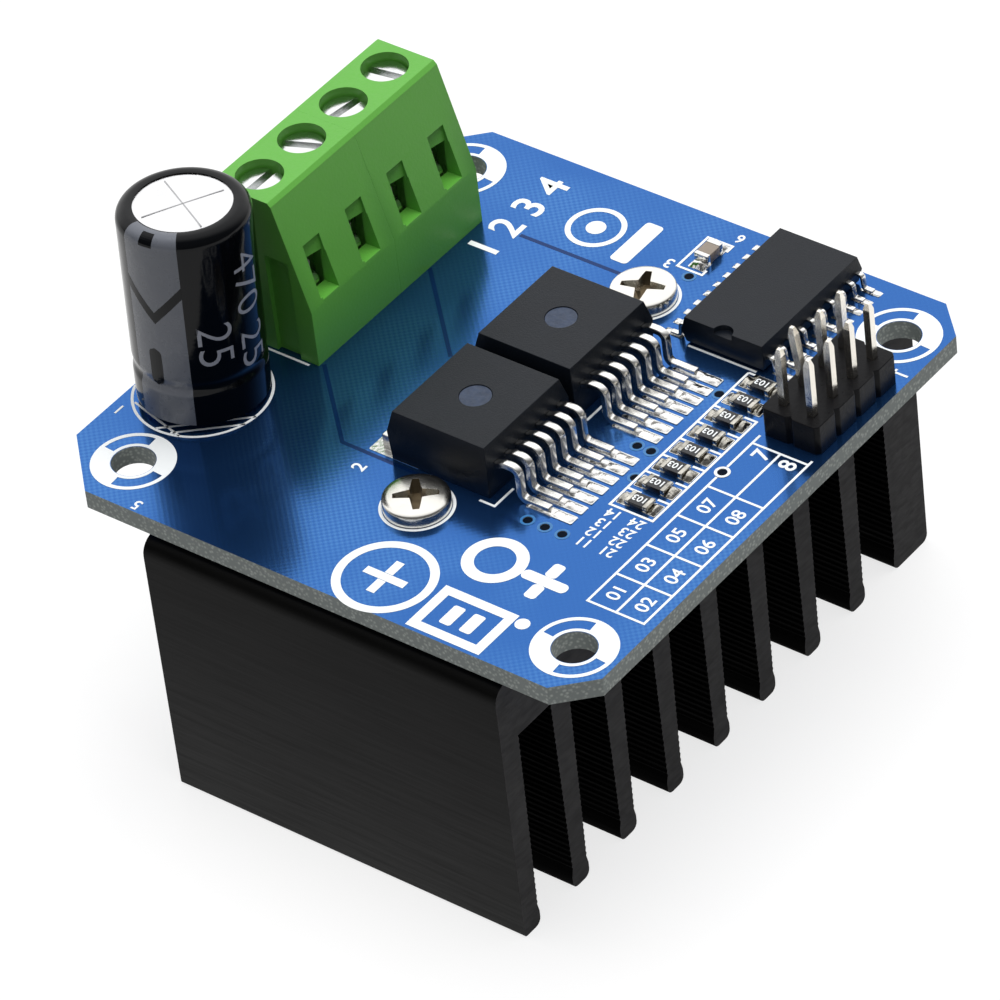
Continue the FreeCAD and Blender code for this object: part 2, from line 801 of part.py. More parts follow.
def make_terminal_housing(number, label):
    """A green two-pole housing: leaning front face, screw wells, wire mouths and windows."""
    body = doc.addObject("PartDesign::Body", f"terminal_blank_{number}")
    outer, inner = "terminal_outer", "terminal_inner"
    crown_outer, crown_inner = f"{outer} + terminal_crown_outer", f"{inner} - terminal_crown_inner"
    corners = [
        (outer, "0"),
        (inner, "0"),
        (inner, "terminal_band_height"),
        (crown_inner, "terminal_height - terminal_edge"),
        (f"{crown_inner} - terminal_edge", "terminal_height"),
        (f"{crown_outer} + terminal_edge", "terminal_height"),
        (crown_outer, "terminal_height - terminal_edge"),
        (outer, "terminal_shoulder_height"),
    ]
    sketch = outline_sketch(body, f"terminal_section_{number}", "XZ_Plane", corners)
    pad(body, f"terminal_moulding_{number}", sketch, "block_length", middle=True)
    block_y = f"terminal_offset_y + ({number} - (block_count + 1) / 2) * block_length"
    bind(body, {"Placement.Base.y": block_y})
    tools = []
    for pole in range(1, int(size("poles_per_block")) + 1):
        pole_y = f"{block_y} + ({pole} - (poles_per_block + 1) / 2) * pole_pitch"
        tools += terminal_pole_tools(f"{number}_{pole}", pole_y)
    if number == 1:
        for side, sign in (("outer", "-"), ("inner", "+")):
            tools.append(box(
                f"end_groove_{side}", "end_groove_width", "end_groove_depth * 2", "end_groove_height",
                f"terminal_offset_x {sign} end_groove_spacing / 2",
                f"{block_y} - block_length / 2", "0",
            ))
    as_node(cut(f"terminal_housing_cut_{number}", body, tools), label)


def terminal_pole_tools(tag, pole_y):
    """What is hollow in one pole: screw well, chamber, wire mouth, window and tail slot."""
    chamber_x = "(terminal_outer + wire_mouth_depth + terminal_inner - chamber_back_wall) / 2"
    chamber_length = "terminal_depth - wire_mouth_depth - chamber_back_wall"
    head_hole = "clamp_screw_head_diameter + 2 * clamp_screw_clearance"
    shank_hole = "clamp_screw_diameter + 2 * clamp_screw_clearance"
    tail_x = "terminal_inner - chamber_back_wall - contact_thickness / 2 - 0.15"
    return [
        cylinder(f"screw_well_{tag}", head_hole, "terminal_height - clamp_head_seat",
                 "terminal_screw_x", pole_y, "clamp_head_seat"),
        cylinder(f"shank_well_{tag}", shank_hole, "clamp_head_seat - chamber_top + 1",
                 "terminal_screw_x", pole_y, "chamber_top - 0.5"),
        box(f"chamber_{tag}", chamber_length, "chamber_width", "chamber_height",
            chamber_x, pole_y, "chamber_floor"),
        box(f"wire_mouth_{tag}", "wire_mouth_depth * 2", "wire_mouth_width", "wire_mouth_height",
            "terminal_outer", pole_y, "wire_mouth_bottom"),
        box(f"window_{tag}", "(window_depth + chamber_back_wall) * 2", "window_width", "chamber_top - window_bottom",
            "terminal_inner", pole_y, "window_bottom"),
        window_recess(tag, pole_y),
        box(f"tail_slot_{tag}", "contact_thickness + 0.2", "contact_width + 0.2", "chamber_floor + 1",
            tail_x, pole_y, "0"),
    ]


def window_recess(tag, pole_y):
    """The shallow recess round a window, sunk squarely into the leaning face."""
    lean = "atan(terminal_crown_inner / (terminal_height - terminal_edge - terminal_band_height))"
    recess = doc.addObject("Part::Box", f"window_recess_{tag}")
    return bind(recess, {
        "Length": "window_depth + 1",
        "Width": "window_width",
        "Height": "window_height",
        "Placement.Base.x": "terminal_inner - window_depth",
        "Placement.Base.y": f"{pole_y} - window_width / 2",
        "Placement.Base.z": "window_bottom",
        "Placement.Rotation.Axis.y": "1",
        "Placement.Rotation.Angle": f"-1 * {lean}",
    })


def make_clamp_screws(number, label):
    """The slotted screws sunk in one terminal block."""
    screws = []
    head_top = "clamp_head_seat + clamp_screw_head_height"
    block_y = f"terminal_offset_y + ({number} - (block_count + 1) / 2) * block_length"
    for pole in range(1, int(size("poles_per_block")) + 1):
        tag = f"{number}_{pole}"
        pole_y = f"{block_y} + ({pole} - (poles_per_block + 1) / 2) * pole_pitch"
        shank = cylinder(f"clamp_shank_{tag}", "clamp_screw_diameter", "clamp_head_seat - contact_top",
                         "terminal_screw_x", pole_y, "contact_top")
        head = cylinder(f"clamp_head_{tag}", "clamp_screw_head_diameter", "clamp_screw_head_height",
                        "terminal_screw_x", pole_y, "clamp_head_seat")
        whole = doc.addObject("Part::Fuse", f"clamp_screw_{tag}")
        whole.Base = head
        whole.Tool = shank
        slot = box(f"clamp_slot_{tag}", "clamp_slot_width", "clamp_screw_head_diameter * 1.1", "clamp_slot_depth",
                   "terminal_screw_x", pole_y, f"{head_top} - clamp_slot_depth")
        screws.append(cut(f"clamp_screw_slotted_{tag}", whole, [slot]))
    as_node(group(f"clamp_screws_{number}", screws), label)


def make_clamp_cages(number, label):
    """Steel cages that the clamp screws draw up round the wires of one terminal block."""
    cages = []
    outer_width = "chamber_width - 2 * cage_clearance"
    cage_bottom = "chamber_floor + cage_clearance"
    block_y = f"terminal_offset_y + ({number} - (block_count + 1) / 2) * block_length"
    for pole in range(1, int(size("poles_per_block")) + 1):
        tag = f"{number}_{pole}"
        pole_y = f"{block_y} + ({pole} - (poles_per_block + 1) / 2) * pole_pitch"
        shell = box(f"cage_shell_{tag}", "cage_length", outer_width, f"cage_top - ({cage_bottom})",
                    "terminal_screw_x", pole_y, cage_bottom)
        inside = box(f"cage_inside_{tag}", "cage_length", f"{outer_width} - 2 * cage_wall",
                     f"cage_top - cage_roof - ({cage_bottom}) - cage_wall",
                     "terminal_screw_x", pole_y, f"{cage_bottom} + cage_wall")
        thread = cylinder(f"cage_thread_{tag}", "clamp_screw_diameter + 2 * sink_screw_thread_clearance",
                          "cage_roof", "terminal_screw_x", pole_y, "cage_top - cage_roof")
        cages.append(cut(f"cage_{tag}", shell, [inside, thread]))
    as_node(group(f"clamp_cages_{number}", cages), label)


def make_contacts(number, label):
    """Tinned strips of one terminal block: a flat bar through each cage and a tail through the board."""
    contacts = []
    thickness = size("contact_thickness")
    bar_z = size("contact_top") - thickness / 2
    tail_bottom = -size("board_thickness") - size("contact_tail_length")
    path = [
        (contact_pin_x() - size("contact_length"), bar_z),
        (contact_pin_x(), bar_z),
        (contact_pin_x(), tail_bottom),
    ]
    profile = strip_outline(path, thickness * 0.6, thickness)
    poles = int(size("poles_per_block"))
    for y in pole_places()[(number - 1) * poles:number * poles]:
        strip = lead_row(profile, size("contact_width"), 1, 0)[0]
        strip.translate(FreeCAD.Vector(0, y, 0))
        contacts.append(strip)
    shape_node(Part.makeCompound(contacts), label)


def can_corners(grow, bottom, top):
    """Half of the can's outline: straight side with a rolled groove, turned-in rim at the top."""
    radius = f"can_diameter / 2 + {grow}"
    groove_middle = "can_standoff + can_groove_height"
    return [
        (radius, bottom),
        (radius, f"{groove_middle} - can_groove_width / 2"),
        (f"{radius} - can_groove_depth", f"{groove_middle} - can_groove_width * 0.15"),
        (f"{radius} - can_groove_depth", f"{groove_middle} + can_groove_width * 0.15"),
        (radius, f"{groove_middle} + can_groove_width / 2"),
        (radius, f"{top} - can_rim_radius"),
        (f"{radius} - can_rim_radius * 0.3", f"{top} - can_rim_radius * 0.3"),
        (f"{radius} - can_rim_radius", top),
    ]


def make_capacitor():
    """The electrolytic capacitor: can, printed sleeve, rubber bung and two wires."""
    can_body = doc.addObject("PartDesign::Body", "can_blank")
    bung = "bung_diameter / 2"
    bung_top = "can_standoff + bung_height"
    corners = can_corners("0", "can_standoff", "can_top")
    corners += [("0", "can_top"), ("0", bung_top), (bung, bung_top), (bung, "can_standoff")]
    revolve(can_body, "can_turning", outline_sketch(can_body, "can_side", "XZ_Plane", corners))
    as_node(group("can_place", [leaning(can_body)]), "capacitor_can")

    sleeve_body = doc.addObject("PartDesign::Body", "sleeve_blank")
    outer = can_corners("sleeve_thickness", "can_standoff", "can_top + sleeve_thickness")
    inner = can_corners("0", "can_standoff", "can_top")
    lap = "can_diameter / 2 - sleeve_lap"
    corners = outer + [(lap, "can_top + sleeve_thickness"), (lap, "can_top")] + inner[::-1]
    revolve(sleeve_body, "sleeve_turning", outline_sketch(sleeve_body, "sleeve_side", "XZ_Plane", corners))
    as_node(group("sleeve_place", [leaning(sleeve_body)]), "capacitor_sleeve")

    wires, wire_holes = [
        [
            cylinder(
                f"{use}_{number}",
                "can_lead_diameter",
                "can_standoff + can_lead_depth_in_bung + board_thickness + can_lead_tail_length",
                "can_offset_x",
                f"can_offset_y {sign} can_lead_spacing / 2",
                "-board_thickness - can_lead_tail_length",
            )
            for number, sign in ((1, "-"), (2, "+"))
        ]
        for use in ("can_wire", "bung_wire_hole")
    ]
    as_node(group("can_wires", wires), "capacitor_leads")
    disc = leaning(cylinder("bung_disc", "bung_diameter", "bung_height", z="can_standoff"), "can_standoff")
    as_node(cut("bung_with_holes", disc, wire_holes), "capacitor_bung")


def leaning(item, height="0"):
    """Stand a part of the capacitor at its place, tipped a little towards the rear."""
    return bind(item, {
        "Placement.Base.x": "can_offset_x",
        "Placement.Base.y": f"can_offset_y + ({height}) * sin(can_lean_angle)",
        "Placement.Base.z": f"({height}) * cos(can_lean_angle)",
        "Placement.Rotation.Axis.x": "1",
        "Placement.Rotation.Axis.z": "0",
        "Placement.Rotation.Angle": "-1 * can_lean_angle",
    })


def make_chip_resistors():
    """A row of equal chip resistors, each a ceramic body between two metal ends."""
    end = "resistor_end_length"
    for number in range(1, int(size("resistor_count")) + 1):
        y = f"resistor_offset_y + ({number} - (resistor_count + 1) / 2) * resistor_pitch"
        body = box(f"resistor_core_{number}", f"resistor_length - 2 * {end}", "resistor_width",
                   "resistor_height", "resistor_offset_x", y, "0")
        as_node(group(f"resistor_{number}_core_group", [body]), f"resistor_{number}_body")
        ends = [
            box(f"resistor_cap_{number}_{side}", end, "resistor_width", "resistor_height + 0.03",
                f"resistor_offset_x {sign} (resistor_length - {end}) / 2", y, "0")
            for side, sign in (("left", "-"), ("right", "+"))
        ]
        as_node(group(f"resistor_{number}_cap_group", ends), f"resistor_{number}_ends")


def make_chip_capacitor():
    """The one chip capacitor beside the logic chip, its ends to the front and the rear."""
    end = "chip_capacitor_end_length"
    x, y = "chip_capacitor_offset_x", "chip_capacitor_offset_y"
    body = box("chip_capacitor_core", "chip_capacitor_width", f"chip_capacitor_length - 2 * {end}",
               "chip_capacitor_height", x, y, "0")
    as_node(group("chip_capacitor_core_group", [body]), "chip_capacitor_body")
    ends = [
        box(f"chip_capacitor_cap_{side}", "chip_capacitor_width", end, "chip_capacitor_height + 0.03",
            x, f"{y} {sign} (chip_capacitor_length - {end}) / 2", "0")
        for side, sign in (("front", "-"), ("rear", "+"))
    ]
    as_node(group("chip_capacitor_cap_group", ends), "chip_capacitor_ends")


def make_solder_joints():
    """Solder cones round each pin and wire where it comes out under the board."""
    height, spread = size("solder_height"), size("solder_spread")
    underside = -size("board_thickness")
    wires = [item.Shape.copy() for item in nodes if item.Label in THROUGH_BOARD_NODES]
    for wire in wires:
        wire.Placement = FreeCAD.Placement()
    cones = []
    for x, y, hole_diameter in lead_places():
        foot = hole_diameter / 2
        cone = Part.makeCone(foot * 0.9, foot + spread, height, FreeCAD.Vector(x, y, underside - height))
        cones.append(cone.cut(Part.makeCompound(wires)))
    shape_node(Part.makeCompound(cones), "solder_joints")


THROUGH_BOARD_NODES = ("header_pins", "front_terminal_contacts", "rear_terminal_contacts", "capacitor_leads")

make_heat_sink()
make_thermal_pad()
make_circuit_board()
make_sink_screws()
make_driver(1, "front_driver")
make_driver(2, "rear_driver")
make_logic_chip()
make_header()
for block_number, block_name in ((1, "front_terminal"), (2, "rear_terminal")):
    make_terminal_housing(block_number, f"{block_name}_housing")
    make_clamp_screws(block_number, f"{block_name}_screws")
    make_clamp_cages(block_number, f"{block_name}_cages")
    make_contacts(block_number, f"{block_name}_contacts")
make_capacitor()
make_chip_resistors()
make_chip_capacitor()
doc.recompute()
make_solder_joints()
doc.recompute()

for item in doc.Objects:
    if "Invalid" in item.State or "Error" in item.State:
        raise RuntimeError(f"{item.Label} failed: {item.State}")

os.makedirs("parts", exist_ok=True)
for node in nodes:
    if node.Shape.isNull() or not node.Shape.isValid():
        raise RuntimeError(f"{node.Label} has no valid shape")
    node.Shape.exportStep(f"parts/{node.Label}.step")
print(len(nodes), "nodes,", sum(len(node.Shape.Solids) for node in nodes), "solids")
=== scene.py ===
from math import atan2, cos, pi, radians, sin, tau
from random import Random

import bmesh
import bpy
from mathutils import Matrix, Vector


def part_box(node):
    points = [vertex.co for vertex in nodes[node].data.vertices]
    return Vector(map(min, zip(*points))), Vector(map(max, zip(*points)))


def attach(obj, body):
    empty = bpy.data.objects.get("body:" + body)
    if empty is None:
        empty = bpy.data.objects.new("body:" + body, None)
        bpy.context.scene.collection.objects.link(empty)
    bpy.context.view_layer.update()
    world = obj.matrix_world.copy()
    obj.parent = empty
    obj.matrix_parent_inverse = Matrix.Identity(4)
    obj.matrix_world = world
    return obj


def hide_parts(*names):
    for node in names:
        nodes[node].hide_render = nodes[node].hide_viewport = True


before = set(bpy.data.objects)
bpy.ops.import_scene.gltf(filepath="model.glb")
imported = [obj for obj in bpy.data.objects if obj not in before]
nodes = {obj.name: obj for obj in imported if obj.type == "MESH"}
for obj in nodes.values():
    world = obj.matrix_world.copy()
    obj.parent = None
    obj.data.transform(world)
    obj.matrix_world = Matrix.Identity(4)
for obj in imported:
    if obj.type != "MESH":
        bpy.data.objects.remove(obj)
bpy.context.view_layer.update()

# Camera: the module is seen from half a metre away, looking down over the front right corner
# of its board, through a long lens, so that its edges stay nearly parallel.
camera_data = bpy.data.cameras.new("bench_camera")
camera_data.lens = 257.63
camera_data.sensor_width = 36
camera_data.clip_start = 0.05
camera = bpy.data.objects.new("bench_camera", camera_data)
camera.location = (0.27232, -0.31043, 0.35879)
camera.rotation_euler = (radians(50.0585), radians(5.4830), radians(36.9548))
bpy.context.scene.collection.objects.link(camera)
bpy.context.scene.camera = camera
bpy.context.scene.view_settings.view_transform = "Standard"

# Heat sink: an aluminium extrusion, sawn to length and dyed black by anodising. Fine ridges
# from the die run along both sides of each fin, and the saw leaves faint marks on the cut ends.
MM = 0.001


def shader_group(name, inputs, outputs):
    """A new shader node group with these sockets, and its own input and output nodes."""
    group = bpy.data.node_groups.new(name, "ShaderNodeTree")
    for socket_name, kind, value in inputs:
        socket = group.interface.new_socket(socket_name, in_out="INPUT", socket_type=kind)
        socket.default_value = value
    for socket_name, kind in outputs:
        group.interface.new_socket(socket_name, in_out="OUTPUT", socket_type=kind)
    return group, group.nodes.new("NodeGroupInput"), group.nodes.new("NodeGroupOutput")


def add_node(tree, kind, settings=None, **links):
    """A node with its settings; a link is an input's name, or i and its number, and what feeds it."""
    node = tree.nodes.new(kind)
    for key, value in (settings or {}).items():
        setattr(node, key, value)
    for key, value in links.items():
        socket = node.inputs[int(key[1:])] if key[0] == "i" and key[1:].isdigit() else node.inputs[key]
        if isinstance(value, bpy.types.NodeSocket):
            tree.links.new(value, socket)
        else:
            socket.default_value = value
    return node


def maths(tree, operation, first, second=0.0):
    """The result of a Math node."""
    return add_node(tree, "ShaderNodeMath", {"operation": operation}, i0=first, i1=second).outputs[0]


def blend_colours(tree, factor, first, second):
    """A colour between two others by a factor."""
    node = add_node(tree, "ShaderNodeMix", {"data_type": "RGBA"}, i0=factor, i6=first, i7=second)
    return node.outputs[2]


def remap(tree, value, low, high, from_low=0.0, from_high=1.0, settings=None):
    """A value carried over from one range to another by a Map Range node."""
    node = add_node(tree, "ShaderNodeMapRange", settings, Value=value)
    for name, limit in (("From Min", from_low), ("From Max", from_high), ("To Min", low), ("To Max", high)):
        node.inputs[name].default_value = limit
    return node.outputs[0]


# Grain: a fine and a broad noise at a scale in marks per metre, stretched along any axis
grain_group, grain_in, grain_out = shader_group(
    "surface_grain",
    [("Scale", "NodeSocketFloat", 1000.0), ("Broad Scale", "NodeSocketFloat", 100.0),
     ("Stretch", "NodeSocketVector", (1.0, 1.0, 1.0))],
    [("Fine", "NodeSocketFloat"), ("Broad", "NodeSocketFloat")],
)
grain_place = add_node(grain_group, "ShaderNodeTexCoord")
grain_stretch = add_node(grain_group, "ShaderNodeVectorMath", {"operation": "MULTIPLY"},
                         i0=grain_place.outputs["Object"], i1=grain_in.outputs["Stretch"])
for noise_name, scale_name, detail in (("Fine", "Scale", 3.0), ("Broad", "Broad Scale", 2.0)):
    noise = add_node(grain_group, "ShaderNodeTexNoise", Vector=grain_stretch.outputs[0],
                     Scale=grain_in.outputs[scale_name], Detail=detail)
    grain_group.links.new(noise.outputs["Fac"], grain_out.inputs[noise_name])


def finish_material(name, colour, roughness, metallic=0.0, spread=0.15, grain=3000.0, broad=150.0,
                    stretch=(1.0, 1.0, 1.0), relief=0.02, ior=1.5):
    """A Principled material whose colour, roughness and relief vary with the surface grain."""
    material = bpy.data.materials.new(name)
    material.use_nodes = True
    tree = material.node_tree
    shader = tree.nodes["Principled BSDF"]
    shader.inputs["Metallic"].default_value = metallic
    shader.inputs["IOR"].default_value = ior
    grains = add_node(tree, "ShaderNodeGroup", {"node_tree": grain_group},
                      Scale=grain, Stretch=stretch)
    grains.inputs["Broad Scale"].default_value = broad
    dark = (*[part * (1 - spread) for part in colour], 1)
    light = (*[min(1, part * (1 + spread)) for part in colour], 1)
    tone = blend_colours(tree, grains.outputs["Broad"], dark, light)
    tree.links.new(tone, shader.inputs["Base Color"])
    rough = remap(tree, grains.outputs["Fine"], max(0.02, roughness * 0.8), min(1.0, roughness * 1.2), 0.3, 0.7)
    tree.links.new(rough, shader.inputs["Roughness"])
    bump = add_node(tree, "ShaderNodeBump", Height=grains.outputs["Fine"])
    bump.inputs["Strength"].default_value = 1.0
    bump.inputs["Distance"].default_value = relief * MM
    tree.links.new(bump.outputs[0], shader.inputs["Normal"])
    return material


def dress(piece, material, slot_name, *node_names):
    """Give a new piece its finish and its body, and the nodes it stands for. Its slot name is not used."""
    piece.data.materials.clear()
    piece.data.materials.append(material)
    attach(piece, "root")
    if node_names:
        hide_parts(*node_names)


def link_mesh(name, mesh_maker, smooth_angle=None):
    """A mesh object from a bmesh, shaded smooth where its faces meet under an angle."""
    mesh = bpy.data.meshes.new(name)
    mesh_maker.normal_update()
    bmesh.ops.recalc_face_normals(mesh_maker, faces=mesh_maker.faces)
    mesh_maker.to_mesh(mesh)
    mesh_maker.free()
    piece = bpy.data.objects.new(name, mesh)
    bpy.context.scene.collection.objects.link(piece)
    if smooth_angle is not None:
        mesh.shade_smooth()
        mesh.set_sharp_from_angle(angle=radians(smooth_angle))
    return piece


def corner_arc(centre, radius, start, end, steps):
    """Points on an arc about a centre, from one angle to another, in degrees."""
    angles = [radians(start + (end - start) * step / steps) for step in range(steps + 1)]
    return [(centre[0] + radius * cos(a), centre[1] + radius * sin(a)) for a in angles]


SINK_ENDS = (-14.9, 17.6)
SINK_HALF = 26.05
SINK_HEIGHT = 24.0
TOP_RADIUS = 1.4
FRONT_WALL = 2.0
REAR_WALL = 4.5
CHANNEL_ROOF = 18.4
FIN_PITCH = 5.95
FIN_HALF = 1.05
FIN_TAPER = 0.225
NECK_HEIGHT = 2.0
FOOT_INSET = 0.05
FOOT_RADIUS = 0.6
RIDGE_PITCH = 0.55
RIDGE_DEPTH = 0.075


def ridged_side(root, neck, outward):
    """Points down one fin side, each ridge a low rounded tooth that points to the channel."""
    (root_y, root_z), (neck_y, neck_z) = root, neck
    count = int((root_z - neck_z) / RIDGE_PITCH)
    points = [(root_y, root_z)]
    for ridge in range(count):
        for share, height in ((0.25, 0.0), (0.45, 0.55), (0.65, 1.0), (0.85, 0.55)):
            travel = (ridge + share) / count
            y = root_y + (neck_y - root_y) * travel + outward * height * RIDGE_DEPTH
            points.append((y, root_z + (neck_z - root_z) * travel))
    points.append((neck_y, neck_z))
    return points


def fin_flank(root_y, outward):
    """One whole side of a fin, from the channel's roof to the rounded foot of the fin."""
    points = ridged_side((root_y, CHANNEL_ROOF), (root_y - outward * FIN_TAPER, NECK_HEIGHT), outward)
    tip_y = root_y - outward * FOOT_INSET
    points.append((tip_y, 2 * FOOT_RADIUS))
    start, end = (0, -90) if outward > 0 else (180, 270)
    return points + corner_arc((tip_y - outward * FOOT_RADIUS, FOOT_RADIUS), FOOT_RADIUS, start, end, 4)


section = corner_arc((-SINK_HALF + TOP_RADIUS, SINK_HEIGHT - TOP_RADIUS), TOP_RADIUS, 180, 90, 6)
section += corner_arc((SINK_HALF - TOP_RADIUS, SINK_HEIGHT - TOP_RADIUS), TOP_RADIUS, 90, 0, 6)
section += corner_arc((SINK_HALF - FOOT_RADIUS, FOOT_RADIUS), FOOT_RADIUS, 0, -90, 4)
section += fin_flank(SINK_HALF - REAR_WALL, -1)[::-1]
for fin in range(7, 0, -1):
    middle = -SINK_HALF + fin * FIN_PITCH + FIN_HALF
    section += fin_flank(middle + FIN_HALF, 1)
    section += fin_flank(middle - FIN_HALF, -1)[::-1]
section += fin_flank(-SINK_HALF + FRONT_WALL, 1)
section += corner_arc((-SINK_HALF + 0.3, 0.3), 0.3, -90, -180, 3)

extrusion = bmesh.new()
rings = [[extrusion.verts.new((x * MM, y * MM, z * MM)) for y, z in section] for x in SINK_ENDS]
for first, second, low_first, low_second in zip(
        rings[0], rings[0][1:] + rings[0][:1], rings[1], rings[1][1:] + rings[1][:1]):
    extrusion.faces.new((first, second, low_second, low_first))
extrusion.faces.new(rings[0])
extrusion.faces.new(rings[1])
extrusion.normal_update()
bmesh.ops.triangulate(extrusion, faces=[face for face in extrusion.faces if len(face.verts) > 4])
heat_sink = link_mesh("heat_sink_extrusion", extrusion, 25)

anodised = finish_material("black_anodising", (0.0028, 0.0028, 0.0027), 0.38, spread=0.3, grain=2600,
                           broad=90, stretch=(0.05, 1.0, 1.0), relief=0.012, ior=1.16)
dress(heat_sink, anodised, "black_anodised_aluminium", "heat_sink")
sawn_ends = finish_material("sawn_anodised_ends", (0.042, 0.041, 0.042), 0.55, spread=0.25, grain=3500,
                            broad=300, stretch=(1.0, 0.25, 1.0), relief=0.006, ior=1.16)
heat_sink.data.materials.append(sawn_ends)
# Faces inside the channels between the fins get a darker, less glossy copy of the anodising, which is painted
# shade.
channel_painted_shade = finish_material("channel_anodising_painted_shade", (0.0012, 0.0012, 0.0012), 0.6, spread=0.3, grain=2600,
                                broad=90, stretch=(0.05, 1.0, 1.0), relief=0.012, ior=1.06)
heat_sink.data.materials.append(channel_painted_shade)
# Cut ends take the sawn finish; faces in the channels take the painted shade.
for face in heat_sink.data.polygons:
    if abs(face.normal.x) > 0.9:
        face.material_index = 1
    elif abs(face.center.y) < (SINK_HALF - 0.3) * MM and face.center.z < (CHANNEL_ROOF + 0.2) * MM:
        face.material_index = 2

# Thermal pad: a soft grey silicone sheet that carries heat from the board into the extrusion
# and keeps the two apart. It is cut square and squeezed flat by the two screws.
pad_silicone = finish_material("pad_silicone", (0.50, 0.52, 0.54), 0.75, spread=0.06, grain=1800, relief=0.01)


def finish_node(node_name, material):
    """Put a finish on a node of the model that keeps its own shape."""
    piece = nodes[node_name]
    piece.data.materials.clear()
    piece.data.materials.append(material)
    return piece


finish_node("thermal_pad", pad_silicone)

# Circuit board: woven glass laminate with copper on both sides under a glossy blue solder mask.
# Its sawn edges show the pale laminate, and the weave shows faintly through the mask.
board_low, board_high = [Vector(corner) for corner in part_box("circuit_board")]
BOARD_TOP = board_high.z
BOARD_MIDDLE_Y = (board_low.y + board_high.y) / 2


def on_board(x, y, z=0.0):
    """A point given in millimetres from the centre of the board's top face."""
    return Vector((x * MM, BOARD_MIDDLE_Y + y * MM, BOARD_TOP + z * MM))


board_finish = bpy.data.materials.new("solder_mask_on_laminate")
board_finish.use_nodes = True
board_tree = board_finish.node_tree
board_shader = board_tree.nodes["Principled BSDF"]
board_place = add_node(board_tree, "ShaderNodeTexCoord")
board_axes = add_node(board_tree, "ShaderNodeSeparateXYZ", Vector=board_place.outputs["Object"])
board_normal = add_node(board_tree, "ShaderNodeSeparateXYZ",
                        Vector=add_node(board_tree, "ShaderNodeNewGeometry").outputs["Normal"])
level_face = maths(board_tree, "GREATER_THAN", maths(board_tree, "ABSOLUTE", board_normal.outputs["Z"]), 0.5)
WEAVE_PITCH = 0.55
weave_waves = [
    maths(board_tree, "SINE", maths(board_tree, "MULTIPLY", board_axes.outputs[axis], tau / (WEAVE_PITCH * MM)))
    for axis in ("X", "Y")
]
weave = add_node(board_tree, "ShaderNodeMath", {"operation": "MULTIPLY_ADD"},
                 i0=maths(board_tree, "MULTIPLY", *weave_waves), i1=0.5, i2=0.5).outputs[0]
board_grain = add_node(board_tree, "ShaderNodeGroup", {"node_tree": grain_group}, Scale=1600.0)
board_grain.inputs["Broad Scale"].default_value = 70.0
weave_strength = remap(board_tree, board_grain.outputs["Broad"], 0.06, 0.5, 0.42, 0.62)
weave_mark = maths(board_tree, "MULTIPLY", weave, weave_strength)
mask_blue = blend_colours(board_tree, weave_mark, (0.028, 0.12, 0.39, 1), (0.09, 0.26, 0.57, 1))
edge_speckle = add_node(board_tree, "ShaderNodeTexVoronoi", Vector=board_place.outputs["Object"], Scale=3200.0)
edge_glint = remap(board_tree, edge_speckle.outputs["Distance"], 1.0, 0.0, 0.05, 0.5)
laminate = blend_colours(board_tree, edge_glint, (0.27, 0.30, 0.29, 1), (0.58, 0.62, 0.59, 1))
board_colour = blend_colours(board_tree, level_face, laminate, mask_blue)
board_tree.links.new(board_colour, board_shader.inputs["Base Color"])
board_tree.links.new(remap(board_tree, level_face, 0.6, 0.17), board_shader.inputs["Roughness"])
copper_share = maths(board_tree, "MULTIPLY", level_face, 0.9)
board_tree.links.new(copper_share, board_shader.inputs["Metallic"])
board_height = maths(board_tree, "ADD", maths(board_tree, "MULTIPLY", weave, 0.35),
                     maths(board_tree, "MULTIPLY", board_grain.outputs["Fine"], 0.25))
board_bump = add_node(board_tree, "ShaderNodeBump", Height=board_height)
board_bump.inputs["Distance"].default_value = 0.004 * MM
board_tree.links.new(board_bump.outputs[0], board_shader.inputs["Normal"])
finish_node("circuit_board", board_finish)


def add_band(maker, left, right, bottom, top, closed=False):
    """A flat strip between two rows of board points, with its underside and edges."""
    rows = [
        [maker.verts.new(on_board(x, y, z)) for x, y in side]
        for side, z in ((left, top), (right, top), (right, bottom), (left, bottom))
    ]
    count = len(left)
    for i in range(count if closed else count - 1):
        following = (i + 1) % count
        for row, across in zip(rows, rows[1:] + rows[:1]):
            maker.faces.new((row[i], row[following], across[following], across[i]))
    if not closed:
        for i in (0, count - 1):
            maker.faces.new([row[i] for row in rows])


def add_ring(maker, centre, inner, outer, bottom, top, start=0.0, end=360.0, steps=72):
    """A ring, or part of one between two angles in degrees, flat on the board."""
    closed = end - start >= 360
    last = steps if not closed else steps - 1
    angles = [radians(start + (end - start) * i / steps) for i in range(last + 1)]
    sides = [
        [(centre[0] + radius * cos(a), centre[1] + radius * sin(a)) for a in angles]
        for radius in (inner, outer)
    ]
    add_band(maker, sides[0], sides[1], bottom, top, closed)


def add_line(maker, points, width, bottom, top):
    """A printed or etched line of even width along board points."""
    vectors = [Vector(point) for point in points]
    left, right = [], []
    for i, point in enumerate(vectors):
        before = (point - vectors[i - 1]).normalized() if i else None
        after = (vectors[i + 1] - point).normalized() if i < len(vectors) - 1 else None
        along = ((before or after) + (after or before)).normalized()
        half = width / 2 / max(0.5, along.dot(after or before))
        side = Vector((-along.y, along.x)) * half
        left.append(tuple(point + side))
        right.append(tuple(point - side))
    add_band(maker, left, right, bottom, top)


def add_plate(maker, corners, bottom, top):
    """A flat convex patch on the board with these corners."""
    upper = [maker.verts.new(on_board(x, y, top)) for x, y in corners]
    lower = [maker.verts.new(on_board(x, y, bottom)) for x, y in corners]
    maker.faces.new(upper)
    maker.faces.new(lower[::-1])
    for i in range(len(corners)):
        following = (i + 1) % len(corners)
        maker.faces.new((upper[i], lower[i], lower[following], upper[following]))


